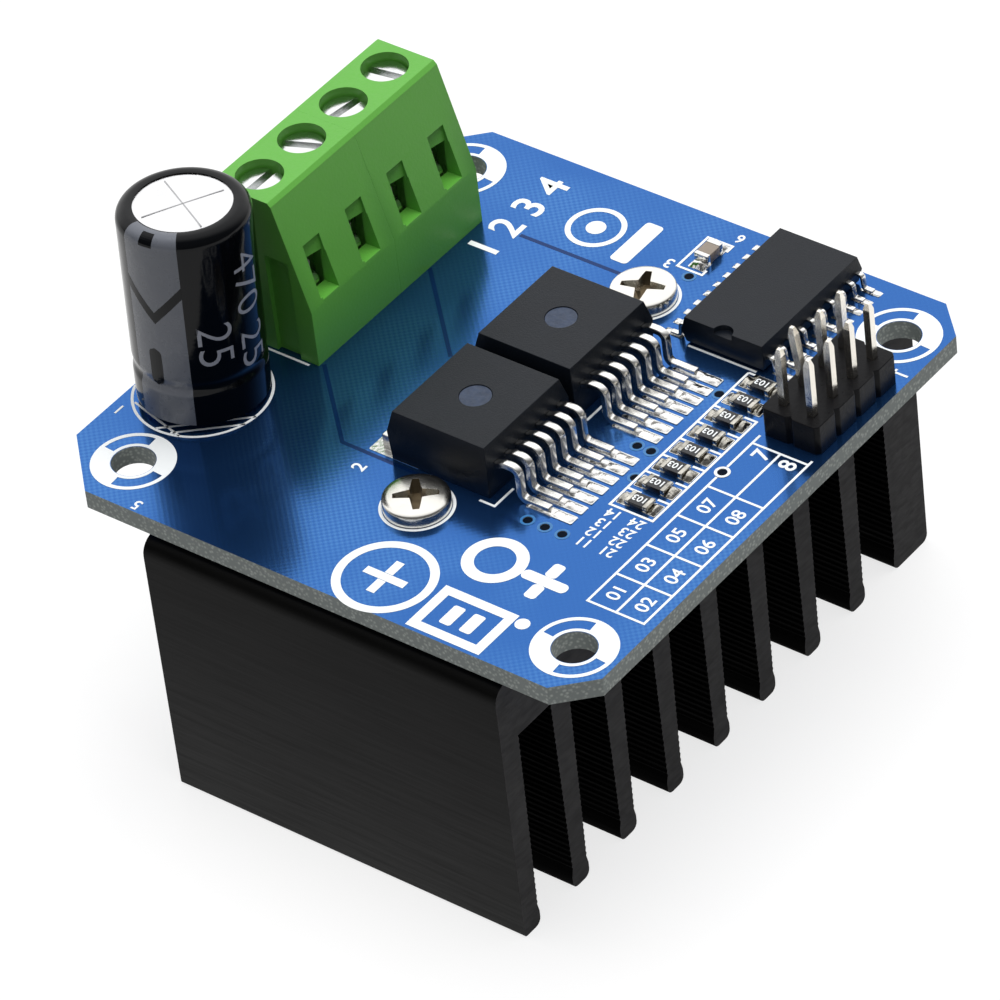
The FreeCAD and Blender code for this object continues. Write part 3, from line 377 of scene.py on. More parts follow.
def rounded_rectangle(x0, y0, x1, y1, radius, steps=5):
    """Corners of a rectangle whose corners are rounded."""
    corners = []
    for cx, cy, turn in ((x1 - radius, y1 - radius, 0), (x0 + radius, y1 - radius, 90),
                         (x0 + radius, y0 + radius, 180), (x1 - radius, y0 + radius, 270)):
        corners += corner_arc((cx, cy), radius, turn, turn + 90, steps)
    return corners


# Gaps in the copper: strips of laminate between the copper areas, seen as dark lines through
# the mask. The copper there is etched away before the mask goes on.
GAP_TOP = 0.008
gaps = bmesh.new()
for route in (
    [(-14.0, -4.35), (-7.2, -10.85), (0.4, -10.95)],
    [(-14.2, 8.95), (-6.3, 1.2)],
    [(-10.6, 15.65), (-0.9, 15.65)],
):
    add_line(gaps, route, 0.34, -0.02, GAP_TOP)
bare_mask = finish_material("mask_over_bare_laminate", (0.002, 0.028, 0.13), 0.17, 0.6, spread=0.05, grain=1600,
                            relief=0.004)
dress(link_mesh("copper_gaps", gaps), bare_mask, "board_laminate")

# Printed layer: white epoxy ink, screened on in one pass. It draws rings at the screws and the
# mounting holes, outlines round the parts, a pin table with its numbers, and plain marks.
PRINT_TOP = 0.018
printed = bmesh.new()
HOLE_CENTRES = [(-19.32, -20.52), (21.32, -20.52), (-19.32, 20.12), (21.32, 20.12)]
for centre in HOLE_CENTRES:
    add_ring(printed, centre, 2.92, 3.25, 0, PRINT_TOP)
    add_ring(printed, centre, 1.74, 2.02, 0, PRINT_TOP)
    for start in (2, 182):
        add_ring(printed, centre, 2.02, 2.92, 0, PRINT_TOP, start - 6, start + 92, 24)
SINK_SCREW_CENTRES = [(2.1, -13.85), (2.1, 14.25)]
for centre in SINK_SCREW_CENTRES:
    add_ring(printed, centre, 2.62, 2.86, 0, PRINT_TOP)
CAN_CENTRE = (-19.95, -11.5)
add_ring(printed, CAN_CENTRE, 5.2, 5.42, 0, PRINT_TOP, -158, 158, 96)
for chord in ([(-19.0, -16.55), (-14.75, -12.9)], [(-20.3, -16.7), (-14.6, -11.8)],
              [(-23.6, -15.1), (-18.2, -16.5)]):
    add_line(printed, chord, 0.18, 0, PRINT_TOP)
PRINTED_LINES = [
    # pin table beside the header
    [(19.1, 5.4), (19.1, 1.25)],
    [(19.1, -0.1), (19.1, -15.95), (24.1, -15.95), (24.1, 4.9)],
    [(21.63, 4.4), (21.63, -15.95)],
    *[[(19.1, y), (24.1, y)] for y in (4.4, -1.25, -5.0, -8.8, -12.5)],
    # box round the row of resistors
    [(14.15, 10.9), (14.15, -6.5), (18.0, -6.5), (18.0, 6.6)],
    [(14.15, 10.9), (16.6, 10.9)],
    *[[(14.15, y), (15.4, y)] for y in (-4.35, -2.15, 0.0, 2.15, 4.35, 6.5, 8.75)],
    *[[(16.9, y), (18.0, y)] for y in (-4.35, -2.15, 0.0, 2.15, 4.35, 6.5)],
    # corners round the driver chips, the logic chip, the terminals and the chip capacitor
    [(5.65, -11.0), (7.02, -11.0), (7.02, -8.7)],
    [(7.02, 0.35), (7.02, 2.6)],
    [(8.4, 11.25), (14.6, 11.25)],
    [(-24.3, -5.0), (-14.9, -5.0)],
    [(2.05, 19.3), (2.05, 22.6), (4.35, 22.6), (4.35, 21.8)],
    [(2.05, 19.3), (2.05, 18.6), (4.35, 18.6), (4.35, 19.2)],
]
for number, route in enumerate(PRINTED_LINES):
    add_line(printed, route, 0.2, 0, PRINT_TOP + 0.0004 * number)
# plain marks: a ring round a cross, a ring, a cross, a box with two bars, a dot, a bar, and a
# ring round a dot
for centre, inner, outer, steps in (
    ((4.93, -21.35), 3.25, 3.95, 96), ((10.7, -15.8), 1.55, 2.5, 72), ((-6.1, 19.3), 1.95, 2.4, 72),
):
    add_ring(printed, centre, inner, outer, 0, PRINT_TOP, steps=steps)
for route, width in (
    ([(3.1, -21.35), (6.76, -21.35)], 0.72),
    ([(4.93, -19.5), (4.93, -20.95)], 0.72),
    ([(4.93, -23.2), (4.93, -21.75)], 0.72),
    ([(9.7, -22.0), (9.7, -24.3), (15.5, -24.3), (15.5, -20.2), (9.7, -20.2), (9.7, -22.0)], 0.8),
):
    add_line(printed, route, width, 0, PRINT_TOP)
for patch in (
    (13.2, -16.35, 17.2, -15.35, 0.45), (14.7, -15.33, 15.7, -13.8, 0.3), (14.7, -17.9, 15.7, -16.37, 0.3),
    (11.2, -23.3, 12.2, -21.2, 0.2), (13.0, -23.3, 14.0, -21.2, 0.2), (-3.05, 16.75, -1.45, 21.85, 0.35),
):
    add_plate(printed, rounded_rectangle(*patch), 0, PRINT_TOP)
for centre, radius in (((16.6, -20.4), 0.58), ((-6.1, 19.3), 0.8)):
    add_plate(printed, corner_arc(centre, radius, 0, 345, 23), 0, PRINT_TOP)
print_ink = finish_material("printed_white_ink", (0.90, 0.93, 0.94), 0.5, spread=0.04, grain=2500, relief=0.004)
dress(link_mesh("printed_marks", printed), print_ink, "board_laminate")

DIGIT_LABELS = [
    # digits, centre, height, and the way their line runs, in degrees
    *[(f"0{2 * row + column + 1}", (x, y), 1.15, 90)
      for row, y in enumerate((-14.2, -10.65, -6.9, -3.1)) for column, x in enumerate((20.35, 22.9))],
    ("7", (20.4, 3.6), 1.45, 90),
    ("8", (22.75, 3.6), 1.45, 90),
    ("1", (24.0, 16.4), 1.2, 90),
    ("2", (22.9, 16.4), 1.2, 90),
    *[(f"{column}{row}", (x, -12.15 + 1.2 * row), 0.95, 180)
      for column, x in ((1, 15.05), (2, 17.15)) for row in (1, 2, 3, 4)],
    *[(str(pole + 1), (-12.2, 13.0 + 2.9 * pole), 2.75, 90) for pole in range(4)],
    ("2", (-4.4, -12.5), 1.15, 90),
    ("1", (-24.1, -16.4), 1.0, 180),
    ("5", (-15.9, -24.35), 1.0, 180),
    ("3", (1.3, 18.5), 1.1, 180),
    ("6", (4.3, 23.6), 1.0, 180),
]


CAP_HEIGHT_TO_SIZE = 1.38


def digit_mesh(name, text, height, swell, curve_steps, align="LEFT", thickness=0.0):
    """Plain digits as a mesh, their strokes swollen by a share of their height."""
    outline = bpy.data.curves.new(name, "FONT")
    outline.body = text
    outline.size = height * MM * CAP_HEIGHT_TO_SIZE
    outline.align_x = align
    outline.extrude = thickness / 2 * MM
    outline.offset = swell * height * MM
    outline.resolution_u = curve_steps
    holder = bpy.data.objects.new(name, outline)
    bpy.context.scene.collection.objects.link(holder)
    bpy.context.view_layer.update()
    mesh = bpy.data.meshes.new_from_object(holder.evaluated_get(bpy.context.evaluated_depsgraph_get()))
    bpy.data.objects.remove(holder)
    return mesh


def flat_digits(name, text, centre, height, turn, level, thickness):
    """Digits centred on a board point, their line turned by an angle."""
    mesh = digit_mesh(name, text, height, 0.02, 4, "CENTER", thickness)
    middle = height * MM / 2
    angle = radians(turn)
    spot = on_board(*centre, level + thickness / 2)
    for vertex in mesh.vertices:
        x, y = vertex.co.x, vertex.co.y - middle
        turned_x, turned_y = x * cos(angle) - y * sin(angle), x * sin(angle) + y * cos(angle)
        vertex.co = spot + Vector((turned_x, turned_y, vertex.co.z))
    return mesh


def join_meshes(name, meshes):
    """One mesh object out of several meshes."""
    maker = bmesh.new()
    for mesh in meshes:
        maker.from_mesh(mesh)
        bpy.data.meshes.remove(mesh)
    bmesh.ops.remove_doubles(maker, verts=maker.verts, dist=1e-7)
    return link_mesh(name, maker)


digit_meshes = [
    flat_digits("board_digit", text, centre, height, turn, 0, PRINT_TOP)
    for text, centre, height, turn in DIGIT_LABELS
]
dress(join_meshes("printed_digits", digit_meshes), print_ink, "board_laminate")

# Bare pads and vias: copper left free of mask and tinned with hot solder. The pads reach out
# past the feet of the chips. Each via is a small hole closed by mask, with a narrow raised rim,
# and one has a tinned ring in its place.
tinned_pad = finish_material("hot_tinned_pad", (0.78, 0.78, 0.76), 0.22, 1.0, spread=0.1, grain=2200, broad=700,
                             relief=0.06)
pads = bmesh.new()
LEAD_PITCH = 1.27
RESISTOR_PITCH = 2.19
DRIVER_CENTRES = [(1.7, -5.575), (1.7, 4.975)]
for chip_x, chip_y in DRIVER_CENTRES:
    for lead in range(7):
        y = chip_y + (lead - 3) * LEAD_PITCH
        add_plate(pads, rounded_rectangle(9.0, y - 0.46, 13.1, y + 0.46, 0.12), 0, 0.06)
    tab_pad = rounded_rectangle(chip_x - 6.7, chip_y - 4.9, chip_x - 2.0, chip_y + 4.9, 0.15)
    add_plate(pads, tab_pad, 0, 0.03)
LOGIC_CENTRE = (11.6, 17.65)
for side in (-1, 1):
    for lead in range(10):
        y = LOGIC_CENTRE[1] + (lead - 4.5) * LEAD_PITCH
        x = LOGIC_CENTRE[0] + side * 4.95
        add_plate(pads, rounded_rectangle(x - 0.85, y - 0.3, x + 0.85, y + 0.3, 0.08), 0, 0.04)
RESISTOR_ROWS = [2.25 + (number - 3.5) * RESISTOR_PITCH for number in range(8)]
for y in RESISTOR_ROWS:
    for x in (14.95, 17.25):
        add_plate(pads, rounded_rectangle(x - 0.6, y - 0.68, x + 0.6, y + 0.68, 0.1), 0, 0.03)
for y in (19.55, 21.85):
    add_plate(pads, rounded_rectangle(2.75, y - 0.6, 4.25, y + 0.6, 0.1), 0, 0.03)
dress(link_mesh("tinned_pads", pads), tinned_pad, "solder")

VIA_CENTRES = [(10.04, -11.0), (11.6, -11.0), (13.17, -11.0), (11.97, -0.14), (13.22, -0.14),
               (13.98, -3.17), (13.71, 7.76), (3.58, 18.0)]
BARE_VIA = (19.14, 0.57)
via_rims = bmesh.new()
for centre in VIA_CENTRES:
    add_ring(via_rims, centre, 0.39, 0.58, 0, 0.02, steps=32)
rim_mask = finish_material("mask_rim", (0.03, 0.17, 0.42), 0.2, spread=0.1)
dress(link_mesh("via_rims", via_rims), rim_mask, "board_laminate")
# A near-black disc sits a little below the top in each via and in the bare via; its dark tone is painted shade
# for the holes.
via_hole_painted_shade = finish_material("via_holes_painted_shade", (0.002, 0.005, 0.012), 0.3, spread=0.2, ior=1.1)
via_shade_discs = bmesh.new()
for centre in VIA_CENTRES + [BARE_VIA]:
    add_plate(via_shade_discs, corner_arc(centre, 0.37, 0, 345, 23), -0.3, -0.04)
dress(link_mesh("via_shade_discs", via_shade_discs), via_hole_painted_shade, "board_laminate")
bare_ring = bmesh.new()
add_ring(bare_ring, BARE_VIA, 0.39, 0.62, 0, 0.03, steps=32)
dress(link_mesh("bare_via_ring", bare_ring), tinned_pad, "solder")

# Heat sink screws: M3 pan-head machine screws, cold formed from steel with a cross recess and
# plated bright. They clamp the board and the pad down on the extrusion.
bright_plating = finish_material("bright_nickel_plating", (0.80, 0.78, 0.73), 0.24, 1.0, spread=0.06, grain=900,
                                 broad=300, relief=0.01)
# A darker brown copy of the plating for the faces inside each cross recess, which is painted shade.
recess_painted_shade = finish_material("recess_painted_shade", (0.15, 0.115, 0.07), 0.35, 1.0, spread=0.5, grain=2200,
                                 relief=0.03)


def turned_mesh(profile, steps=64):
    """A bmesh turned from (radius, height) points in millimetres about the Z axis."""
    maker = bmesh.new()
    rows = []
    for radius, height in profile:
        if radius <= 0:
            rows.append([maker.verts.new((0, 0, height * MM))])
        else:
            turns = [tau * i / steps for i in range(steps)]
            rows.append([
                maker.verts.new((radius * MM * cos(turn), radius * MM * sin(turn), height * MM))
                for turn in turns
            ])
    for lower, upper in zip(rows, rows[1:]):
        for i in range(steps):
            following = (i + 1) % steps
            if len(lower) == 1:
                maker.faces.new((lower[0], upper[i], upper[following]))
            elif len(upper) == 1:
                maker.faces.new((lower[i], lower[following], upper[0]))
            else:
                maker.faces.new((lower[i], lower[following], upper[following], upper[i]))
    return maker


def box_mesh(maker, low, high):
    """Add a box between two corners to a bmesh, in metres."""
    (x0, y0, z0), (x1, y1, z1) = low, high
    corners = [maker.verts.new((x, y, z)) for x in (x0, x1) for y in (y0, y1) for z in (z0, z1)]
    for face in ((0, 1, 3, 2), (4, 6, 7, 5), (0, 4, 5, 1), (2, 3, 7, 6), (0, 2, 6, 4), (1, 5, 7, 3)):
        maker.faces.new([corners[i] for i in face])


def carve(piece, cutter):
    """Take a cutter's volume out of a piece for good."""
    boolean = piece.modifiers.new("carve", "BOOLEAN")
    boolean.operation = "DIFFERENCE"
    boolean.object = cutter
    boolean.solver = "EXACT"
    bpy.context.view_layer.update()
    mesh = bpy.data.meshes.new_from_object(piece.evaluated_get(bpy.context.evaluated_depsgraph_get()))
    piece.modifiers.clear()
    piece.data = mesh
    bpy.data.objects.remove(cutter)


HEAD_PROFILE = [
    (0, -6.0), (1.1, -6.0), (1.5, -5.6), (1.5, 0.0), (2.5, 0.0), (2.58, 0.08), (2.58, 0.8), (2.54, 0.95),
    (2.44, 1.05), (2.1, 1.12), (1.6, 1.17), (1.1, 1.21), (0.55, 1.24), (0, 1.25),
]


def cross_cutter(turn, top, floor):
    """A tapered cross for a screwdriver recess, turned by an angle, between two heights."""
    maker = bmesh.new()
    rows = []
    for reach, end_half, waist, z in ((2.05, 0.27, 0.52, top), (1.1, 0.2, 0.36, floor)):
        row = []
        for arm in range(4):
            spin = radians(turn) + arm * pi / 2
            for px, py in ((reach, -end_half), (reach, end_half), (waist, waist)):
                row.append(maker.verts.new(
                    ((px * cos(spin) - py * sin(spin)) * MM, (px * sin(spin) + py * cos(spin)) * MM, z * MM)))
        rows.append(row)
    maker.faces.new(rows[0])
    maker.faces.new(rows[1][::-1])
    for i in range(12):
        following = (i + 1) % 12
        maker.faces.new((rows[0][i], rows[1][i], rows[1][following], rows[0][following]))
    return link_mesh("cross_cutter", maker)


for (x, y), turn, where in zip(SINK_SCREW_CENTRES, (38, 20), ("front", "rear")):
    screw = link_mesh(f"pan_head_screw_{where}", turned_mesh(HEAD_PROFILE))
    carve(screw, cross_cutter(turn, 1.6, 0.3))
    screw.data.transform(Matrix.Translation(on_board(x, y)))
    screw.data.shade_smooth()
    screw.data.set_sharp_from_angle(angle=radians(35))
    dress(screw, bright_plating, "bright_screw_steel", "heat_sink_screws")
    # Faces inside the cross recess take the painted shade.
    screw.data.materials.append(recess_painted_shade)
    for face in screw.data.polygons:
        spot = (face.center - on_board(x, y)) / MM
        face.material_index = int(spot.xy.length < 2.0 and 0.2 < spot.z < 1.05)

# Driver chips: power chips in a moulded black epoxy body with a metal tab underneath. The tab
# and the seven bent leads are tinned copper, soldered to the board.
chip_moulding = finish_material("chip_epoxy", (0.0045, 0.0065, 0.0105), 0.38, spread=0.2, grain=9000,
                                broad=400, ior=1.32)
tinned_copper = finish_material("tinned_copper", (0.88, 0.87, 0.84), 0.22, 1.0, spread=0.12, grain=2600,
                                broad=500, relief=0.015)


def soften_node(node_name, material, width, angle=35, segments=2):
    """Finish a node and round its edges that are sharper than an angle, by a width in millimetres."""
    piece = finish_node(node_name, material)
    weld = piece.modifiers.new("joined_corners", "WELD")
    weld.merge_threshold = 1e-6
    flat = piece.modifiers.new("whole_faces", "DECIMATE")
    flat.decimate_type = "DISSOLVE"
    flat.angle_limit = radians(1)
    bevel = piece.modifiers.new("rounded_edges", "BEVEL")
    bevel.width = width * MM
    bevel.segments = segments
    bevel.limit_method = "ANGLE"
    bevel.angle_limit = radians(angle)
    even = piece.modifiers.new("level_shading", "WEIGHTED_NORMAL")
    even.weight = 100


for where in ("front", "rear"):
    soften_node(f"{where}_driver_body", chip_moulding, 0.12)
    soften_node(f"{where}_driver_tab", tinned_copper, 0.08)
    soften_node(f"{where}_driver_leads", tinned_copper, 0.07)

ejector_epoxy = finish_material("ejector_mark_epoxy", (0.026, 0.04, 0.075), 0.5, spread=0.4, grain=3500,
                                broad=1500)
ejector_marks = bmesh.new()
for x, y in DRIVER_CENTRES:
    add_plate(ejector_marks, corner_arc((x, y), 1.22, 0, 350, 35), 4.29, 4.33)
dress(link_mesh("ejector_marks", ejector_marks), ejector_epoxy, "chip_moulding")


def add_pillow(maker, x0, y0, x1, y1, height, random, steps=(12, 6)):
    """A low mound of solder over a rectangle of the board, a little uneven."""
    rows = []
    phases = [random.uniform(0, tau) for _ in range(4)]
    for i in range(steps[0] + 1):
        u = 2 * i / steps[0] - 1
        row = []
        for j in range(steps[1] + 1):
            v = 2 * j / steps[1] - 1
            swell = (1 - abs(u) ** 5) * (1 - abs(v) ** 3)
            uneven = 1 + 0.22 * sin(3.1 * u + phases[0]) + 0.16 * sin(2.3 * v + phases[1] + 2 * u)
            z = max(0.0, height * swell * uneven)
            x = (x0 + x1) / 2 + u * (x1 - x0) / 2
            y = (y0 + y1) / 2 + v * (y1 - y0) / 2
            row.append(maker.verts.new(on_board(x, y, z)))
        rows.append(row)
    for i in range(steps[0]):
        for j in range(steps[1]):
            maker.faces.new((rows[i][j], rows[i + 1][j], rows[i + 1][j + 1], rows[i][j + 1]))


solder_metal = finish_material("set_solder", (0.8, 0.79, 0.77), 0.14, 1.0, spread=0.12, grain=1300, broad=700,
                               relief=0.11)
lead_solder = bmesh.new()
solder_random = Random(5)
for chip_x, chip_y in DRIVER_CENTRES:
    for lead in range(7):
        y = chip_y + (lead - 3) * LEAD_PITCH
        add_pillow(lead_solder, 8.95, y - 0.47, 11.6, y + 0.47, 0.3, solder_random)
        add_pillow(lead_solder, 11.1, y - 0.45, 13.1, y + 0.45, 0.2, solder_random)
dress(link_mesh("driver_lead_solder", lead_solder, 60), solder_metal, "solder")

# Logic chip: the same black epoxy in a wide flat body, with ten gull-wing leads on each long
# side. A round notch marks its first lead.
soften_node("logic_chip_body", chip_moulding, 0.07)
soften_node("logic_chip_leads", tinned_copper, 0.04)
logic_solder = bmesh.new()
for side in (-1, 1):
    for lead in range(10):
        y = LOGIC_CENTRE[1] + (lead - 4.5) * LEAD_PITCH
        x = LOGIC_CENTRE[0] + side * 5.35
        add_pillow(logic_solder, x - 0.5, y - 0.3, x + 0.5, y + 0.3, 0.16, solder_random, (6, 5))
dress(link_mesh("logic_lead_solder", logic_solder, 60), solder_metal, "solder")

# Pin header: eight square tinned pins pressed through a moulded black base, in two rows.
# It is soldered from below.
header_plastic = finish_material("header_plastic", (0.006, 0.006, 0.007), 0.34, spread=0.2, grain=3500, ior=1.2)
soften_node("header_base", header_plastic, 0.08)
pin_tin = finish_material("pin_tin", (0.86, 0.82, 0.74), 0.2, 1.0, spread=0.12, grain=2600, broad=300,
                          relief=0.008)
finish_node("header_pins", pin_tin)

# Screw terminals: two green polyamide blocks side by side, each with two poles. A slotted screw
# in each well draws a steel cage up against a tinned contact strip.
terminal_green = finish_material("terminal_polyamide", (0.115, 0.40, 0.052), 0.42, spread=0.05, grain=4000,
                                 broad=200, relief=0.012)
cage_zinc = finish_material("zinc_plated_cage", (0.62, 0.63, 0.62), 0.3, 1.0, spread=0.12, grain=2200,
                            relief=0.015)
for where in ("front", "rear"):
    soften_node(f"{where}_terminal_housing", terminal_green, 0.08, 25, 1)
    finish_node(f"{where}_terminal_cages", cage_zinc)
    finish_node(f"{where}_terminal_contacts", tinned_copper)

CLAMP_X = -19.8
CLAMP_TOP = 13.6
CLAMP_SEAT = 11.35
CLAMP_FOOT = 6.26
SLOT_HALF = 0.35
SLOT_DEPTH = 0.7
POLE_PITCH = 5.08
CLAMP_PROFILE = [
    (0, CLAMP_FOOT), (1.15, CLAMP_FOOT), (1.3, CLAMP_FOOT + 0.15), (1.3, CLAMP_SEAT), (1.68, CLAMP_SEAT),
    (1.75, CLAMP_SEAT + 0.08), (1.75, CLAMP_TOP - 0.22), (1.68, CLAMP_TOP - 0.08), (1.52, CLAMP_TOP),
    (0, CLAMP_TOP),
]
POLE_ROWS = [5.46 + (number - 1.5) * POLE_PITCH for number in range(4)]
clamp_zinc = finish_material("zinc_plated_screw", (0.76, 0.77, 0.77), 0.2, 1.0, spread=0.1, grain=1200,
                             broad=500)
for number, (pole_y, turn) in enumerate(zip(POLE_ROWS, (89, 22, 82, 8))):
    screw = link_mesh(f"clamp_screw_{number + 1}", turned_mesh(CLAMP_PROFILE, 48))
    slot = bmesh.new()
    box_mesh(slot, (-2.2 * MM, -SLOT_HALF * MM, (CLAMP_TOP - SLOT_DEPTH) * MM),
             (2.2 * MM, SLOT_HALF * MM, (CLAMP_TOP + 1) * MM))
    slot.transform(Matrix.Rotation(radians(turn), 4, "Z"))
    carve(screw, link_mesh("slot_cutter", slot))
    screw.data.transform(Matrix.Translation(on_board(CLAMP_X, pole_y)))
    screw.data.shade_smooth()
    screw.data.set_sharp_from_angle(angle=radians(35))
    dress(screw, clamp_zinc, "bright_screw_steel",
          "front_terminal_screws" if number < 2 else "rear_terminal_screws")

# Capacitor: an upright electrolytic in a drawn aluminium can, closed below by a rubber bung.
# A shrunk plastic sleeve covers its side and laps over the rim, printed in light grey.
CAN_AXIS = (-19.9, -11.35)
CAN_LEAN = radians(2.6)
SLEEVE_RADIUS = 5.07
GROOVE_FOOT = 3.1
GROOVE_WIDTH = 1.6
GROOVE_DEPTH = 0.16
SHOULDER_FOOT = 16.35
SHOULDER_RADIUS = 0.95


def on_can(radius, azimuth, height):
    """A point of the leaning can from its radius, azimuth in degrees and height above its foot."""
    x, y = radius * cos(radians(azimuth)), radius * sin(radians(azimuth))
    leaned_y = y * cos(CAN_LEAN) + height * sin(CAN_LEAN)
    leaned_z = height * cos(CAN_LEAN) - y * sin(CAN_LEAN)
    return on_board(CAN_AXIS[0] + x, CAN_AXIS[1] + leaned_y, leaned_z)


def sleeve_profile(lift=0.0):
    """Radius and height up the sleeve: foot, rolled groove, side, shoulder and lap on the top."""
    radius = SLEEVE_RADIUS + lift
    points = [(radius, 0.62), (radius, GROOVE_FOOT)]
    points += [(radius - GROOVE_DEPTH * sin(pi * step / 10) ** 2, GROOVE_FOOT + GROOVE_WIDTH * step / 10)
               for step in range(1, 10)]
    points += [(radius, GROOVE_FOOT + GROOVE_WIDTH)] + [(radius, 5.0 + step) for step in range(11)]
    points += [(radius - SHOULDER_RADIUS + SHOULDER_RADIUS * cos(radians(a)),
                SHOULDER_FOOT + (SHOULDER_RADIUS + lift) * sin(radians(a))) for a in range(0, 91, 10)]
    return points + [(4.0, 17.29 + lift), (3.83, 17.27 + lift)]


def turned_on_can(profile, first=0.0, last=360.0, steps=96, maker=None):
    """A surface turned about the can's own leaning axis, whole or between two azimuths."""
    maker = bmesh.new() if maker is None else maker
    closed = last - first >= 360
    columns = steps if closed else steps + 1
    rows = []
    for radius, height in profile:
        if radius <= 0:
            rows.append([maker.verts.new(on_can(0, 0, height))] * columns)
        else:
            azimuths = [first + (last - first) * i / steps for i in range(columns)]
            rows.append([maker.verts.new(on_can(radius, azimuth, height)) for azimuth in azimuths])
    for lower, upper in zip(rows, rows[1:]):
        for i in range(steps):
            following = (i + 1) % columns
            ring = [lower[i], lower[following], upper[following], upper[i]]
            face = [corner for place, corner in enumerate(ring) if corner not in ring[:place]]
            maker.faces.new(face)
    return maker


can_metal = finish_material("drawn_aluminium", (0.76, 0.76, 0.77), 0.3, 1.0, spread=0.05, grain=2500, broad=300,
                            relief=0.01)
can_profile = [(4.1, 0.62), (4.7, 0.62), (4.9, 0.9)] + [(4.9, 2.0 + step) for step in range(14)]
can_profile += [(4.75, 16.8), (4.3, 17.18), (3.83, 17.2), (3.7, 17.14), (2.0, 17.16), (0, 17.17)]
can = link_mesh("capacitor_can_drawn", turned_on_can(can_profile), 45)
dress(can, can_metal, "can_aluminium", "capacitor_can")

sleeve_plastic = finish_material("sleeve_film", (0.002, 0.0025, 0.0035), 0.1, spread=0.1, grain=1200,
                                 broad=200, relief=0.01, ior=1.27)
inner_wall = [(radius - 0.1, height) for radius, height in reversed(sleeve_profile())]
sleeve = link_mesh("capacitor_sleeve_film", turned_on_can(sleeve_profile() + inner_wall), 45)
dress(sleeve, sleeve_plastic, "sleeve_plastic", "capacitor_sleeve")

# The can's top is scored with two crossed lines that let it open if pressure builds up inside.
# They are drawn as thin darker strips on the top; the dark tone is painted shade standing for the grooves.
score_painted_shade = finish_material("scored_groove_painted_shade", (0.42, 0.42, 0.43), 0.4, 1.0, spread=0.2)
scores = bmesh.new()
for turn in (63, 153):
    direction = Vector((cos(radians(turn)), sin(radians(turn))))
    side = Vector((-direction.y, direction.x)) * 0.05
    corners = []
    for end, edge in ((-1, -1), (1, -1), (1, 1), (-1, 1)):
        spot = direction * 3.3 * end + side * edge
        corners.append((spot.length, atan2(spot.y, spot.x) * 180 / pi))
    upper = [scores.verts.new(on_can(radius, azimuth, 17.185)) for radius, azimuth in corners]
    lower = [scores.verts.new(on_can(radius, azimuth, 17.13)) for radius, azimuth in corners]
    scores.faces.new(upper)
    for i in range(4):
        following = (i + 1) % 4
        scores.faces.new((upper[i], lower[i], lower[following], upper[following]))
dress(link_mesh("capacitor_score_lines", scores), score_painted_shade, "can_aluminium")

STRIPE_AZIMUTHS = (-110, -57)
STRIPE_STEPS = 24
MARK_LIFT = 0.022
stripe_grey = finish_material("sleeve_stripe_grey", (0.125, 0.135, 0.16), 0.3, spread=0.12, grain=1500)
stripe = turned_on_can(sleeve_profile(0.012), *STRIPE_AZIMUTHS, STRIPE_STEPS)
dress(link_mesh("capacitor_stripe", stripe, 45), stripe_grey, "sleeve_plastic")


def add_wrapped_patch(maker, outline_rows, lift):
    """A patch on the sleeve from rows of (distance round, height) points, round from azimuth 0."""
    radius = SLEEVE_RADIUS + lift
    rows = [
        [maker.verts.new(on_can(radius, distance / SLEEVE_RADIUS * 180 / pi, height))
         for distance, height in row]
        for row in outline_rows
    ]
    for lower, upper in zip(rows, rows[1:]):
        for i in range(len(lower) - 1):
            maker.faces.new((lower[i], lower[i + 1], upper[i + 1], upper[i]))


stripe_marks = bmesh.new()
stripe_start, stripe_end = [radians(azimuth) * SLEEVE_RADIUS for azimuth in STRIPE_AZIMUTHS]
stripe_middle = (stripe_start + stripe_end) / 2
bottom_row, top_row = [], []
for step in range(STRIPE_STEPS + 1):
    distance = stripe_start + (stripe_end - stripe_start) * step / STRIPE_STEPS
    rise = abs(distance - stripe_middle) * 1.1
    bottom_row.append((distance, 9.6 + rise))
    top_row.append((distance, 10.6 + rise))
add_wrapped_patch(stripe_marks, [bottom_row, top_row], MARK_LIFT)
pill_rows = []
for step in range(17):
    height = -1.65 + 3.3 * step / 16
    bulge = max(0.0, abs(height) - 1.1)
    half = max(0.02, (0.55 ** 2 - bulge ** 2) ** 0.5) if bulge < 0.55 else 0.02
    pill_rows.append([(stripe_middle - 0.35 + half * (2 * i / 4 - 1), 5.6 + height) for i in range(5)])
add_wrapped_patch(stripe_marks, pill_rows, MARK_LIFT)
turned_on_can(sleeve_profile(MARK_LIFT)[-11:-3], -92, -79, 6, stripe_marks)
dress(link_mesh("capacitor_stripe_marks", stripe_marks), sleeve_plastic, "sleeve_plastic")


def wrapped_digits(name, text, height, azimuth, start_height):
    """Plain digits on the sleeve that read downward, their line starting at a height."""
    maker = bmesh.new()
    maker.from_mesh(digit_mesh(name, text, height, -0.012, 5))
    for step in range(1, 16):
        cut_height = height * MM * step / 12 - height * MM / 6
        bmesh.ops.bisect_plane(maker, geom=maker.verts[:] + maker.edges[:] + maker.faces[:],
                               plane_co=(0, cut_height, 0), plane_no=(0, 1, 0))
    for vertex in maker.verts:
        round_turn = azimuth + (vertex.co.y / MM - height / 2) / SLEEVE_RADIUS * 180 / pi
        vertex.co = on_can(SLEEVE_RADIUS + 0.02, round_turn, start_height - vertex.co.x / MM)
    return link_mesh(name, maker)


sleeve_ink = finish_material("sleeve_grey_ink", (0.36, 0.37, 0.41), 0.3, spread=0.08, grain=2500)
for name, text, height, azimuth, start_height in (
    ("capacitor_digits_small", "25", 2.9, -32, 9.6),
    ("capacitor_digits_large", "470 25", 2.7, 6, 14.6),
):
    dress(wrapped_digits(name, text, height, azimuth, start_height), sleeve_ink, "sleeve_plastic")

bung_rubber = finish_material("bung_rubber", (0.02, 0.02, 0.02), 0.7, spread=0.15, relief=0.02)
finish_node("capacitor_bung", bung_rubber)
finish_node("capacitor_leads", tinned_copper)

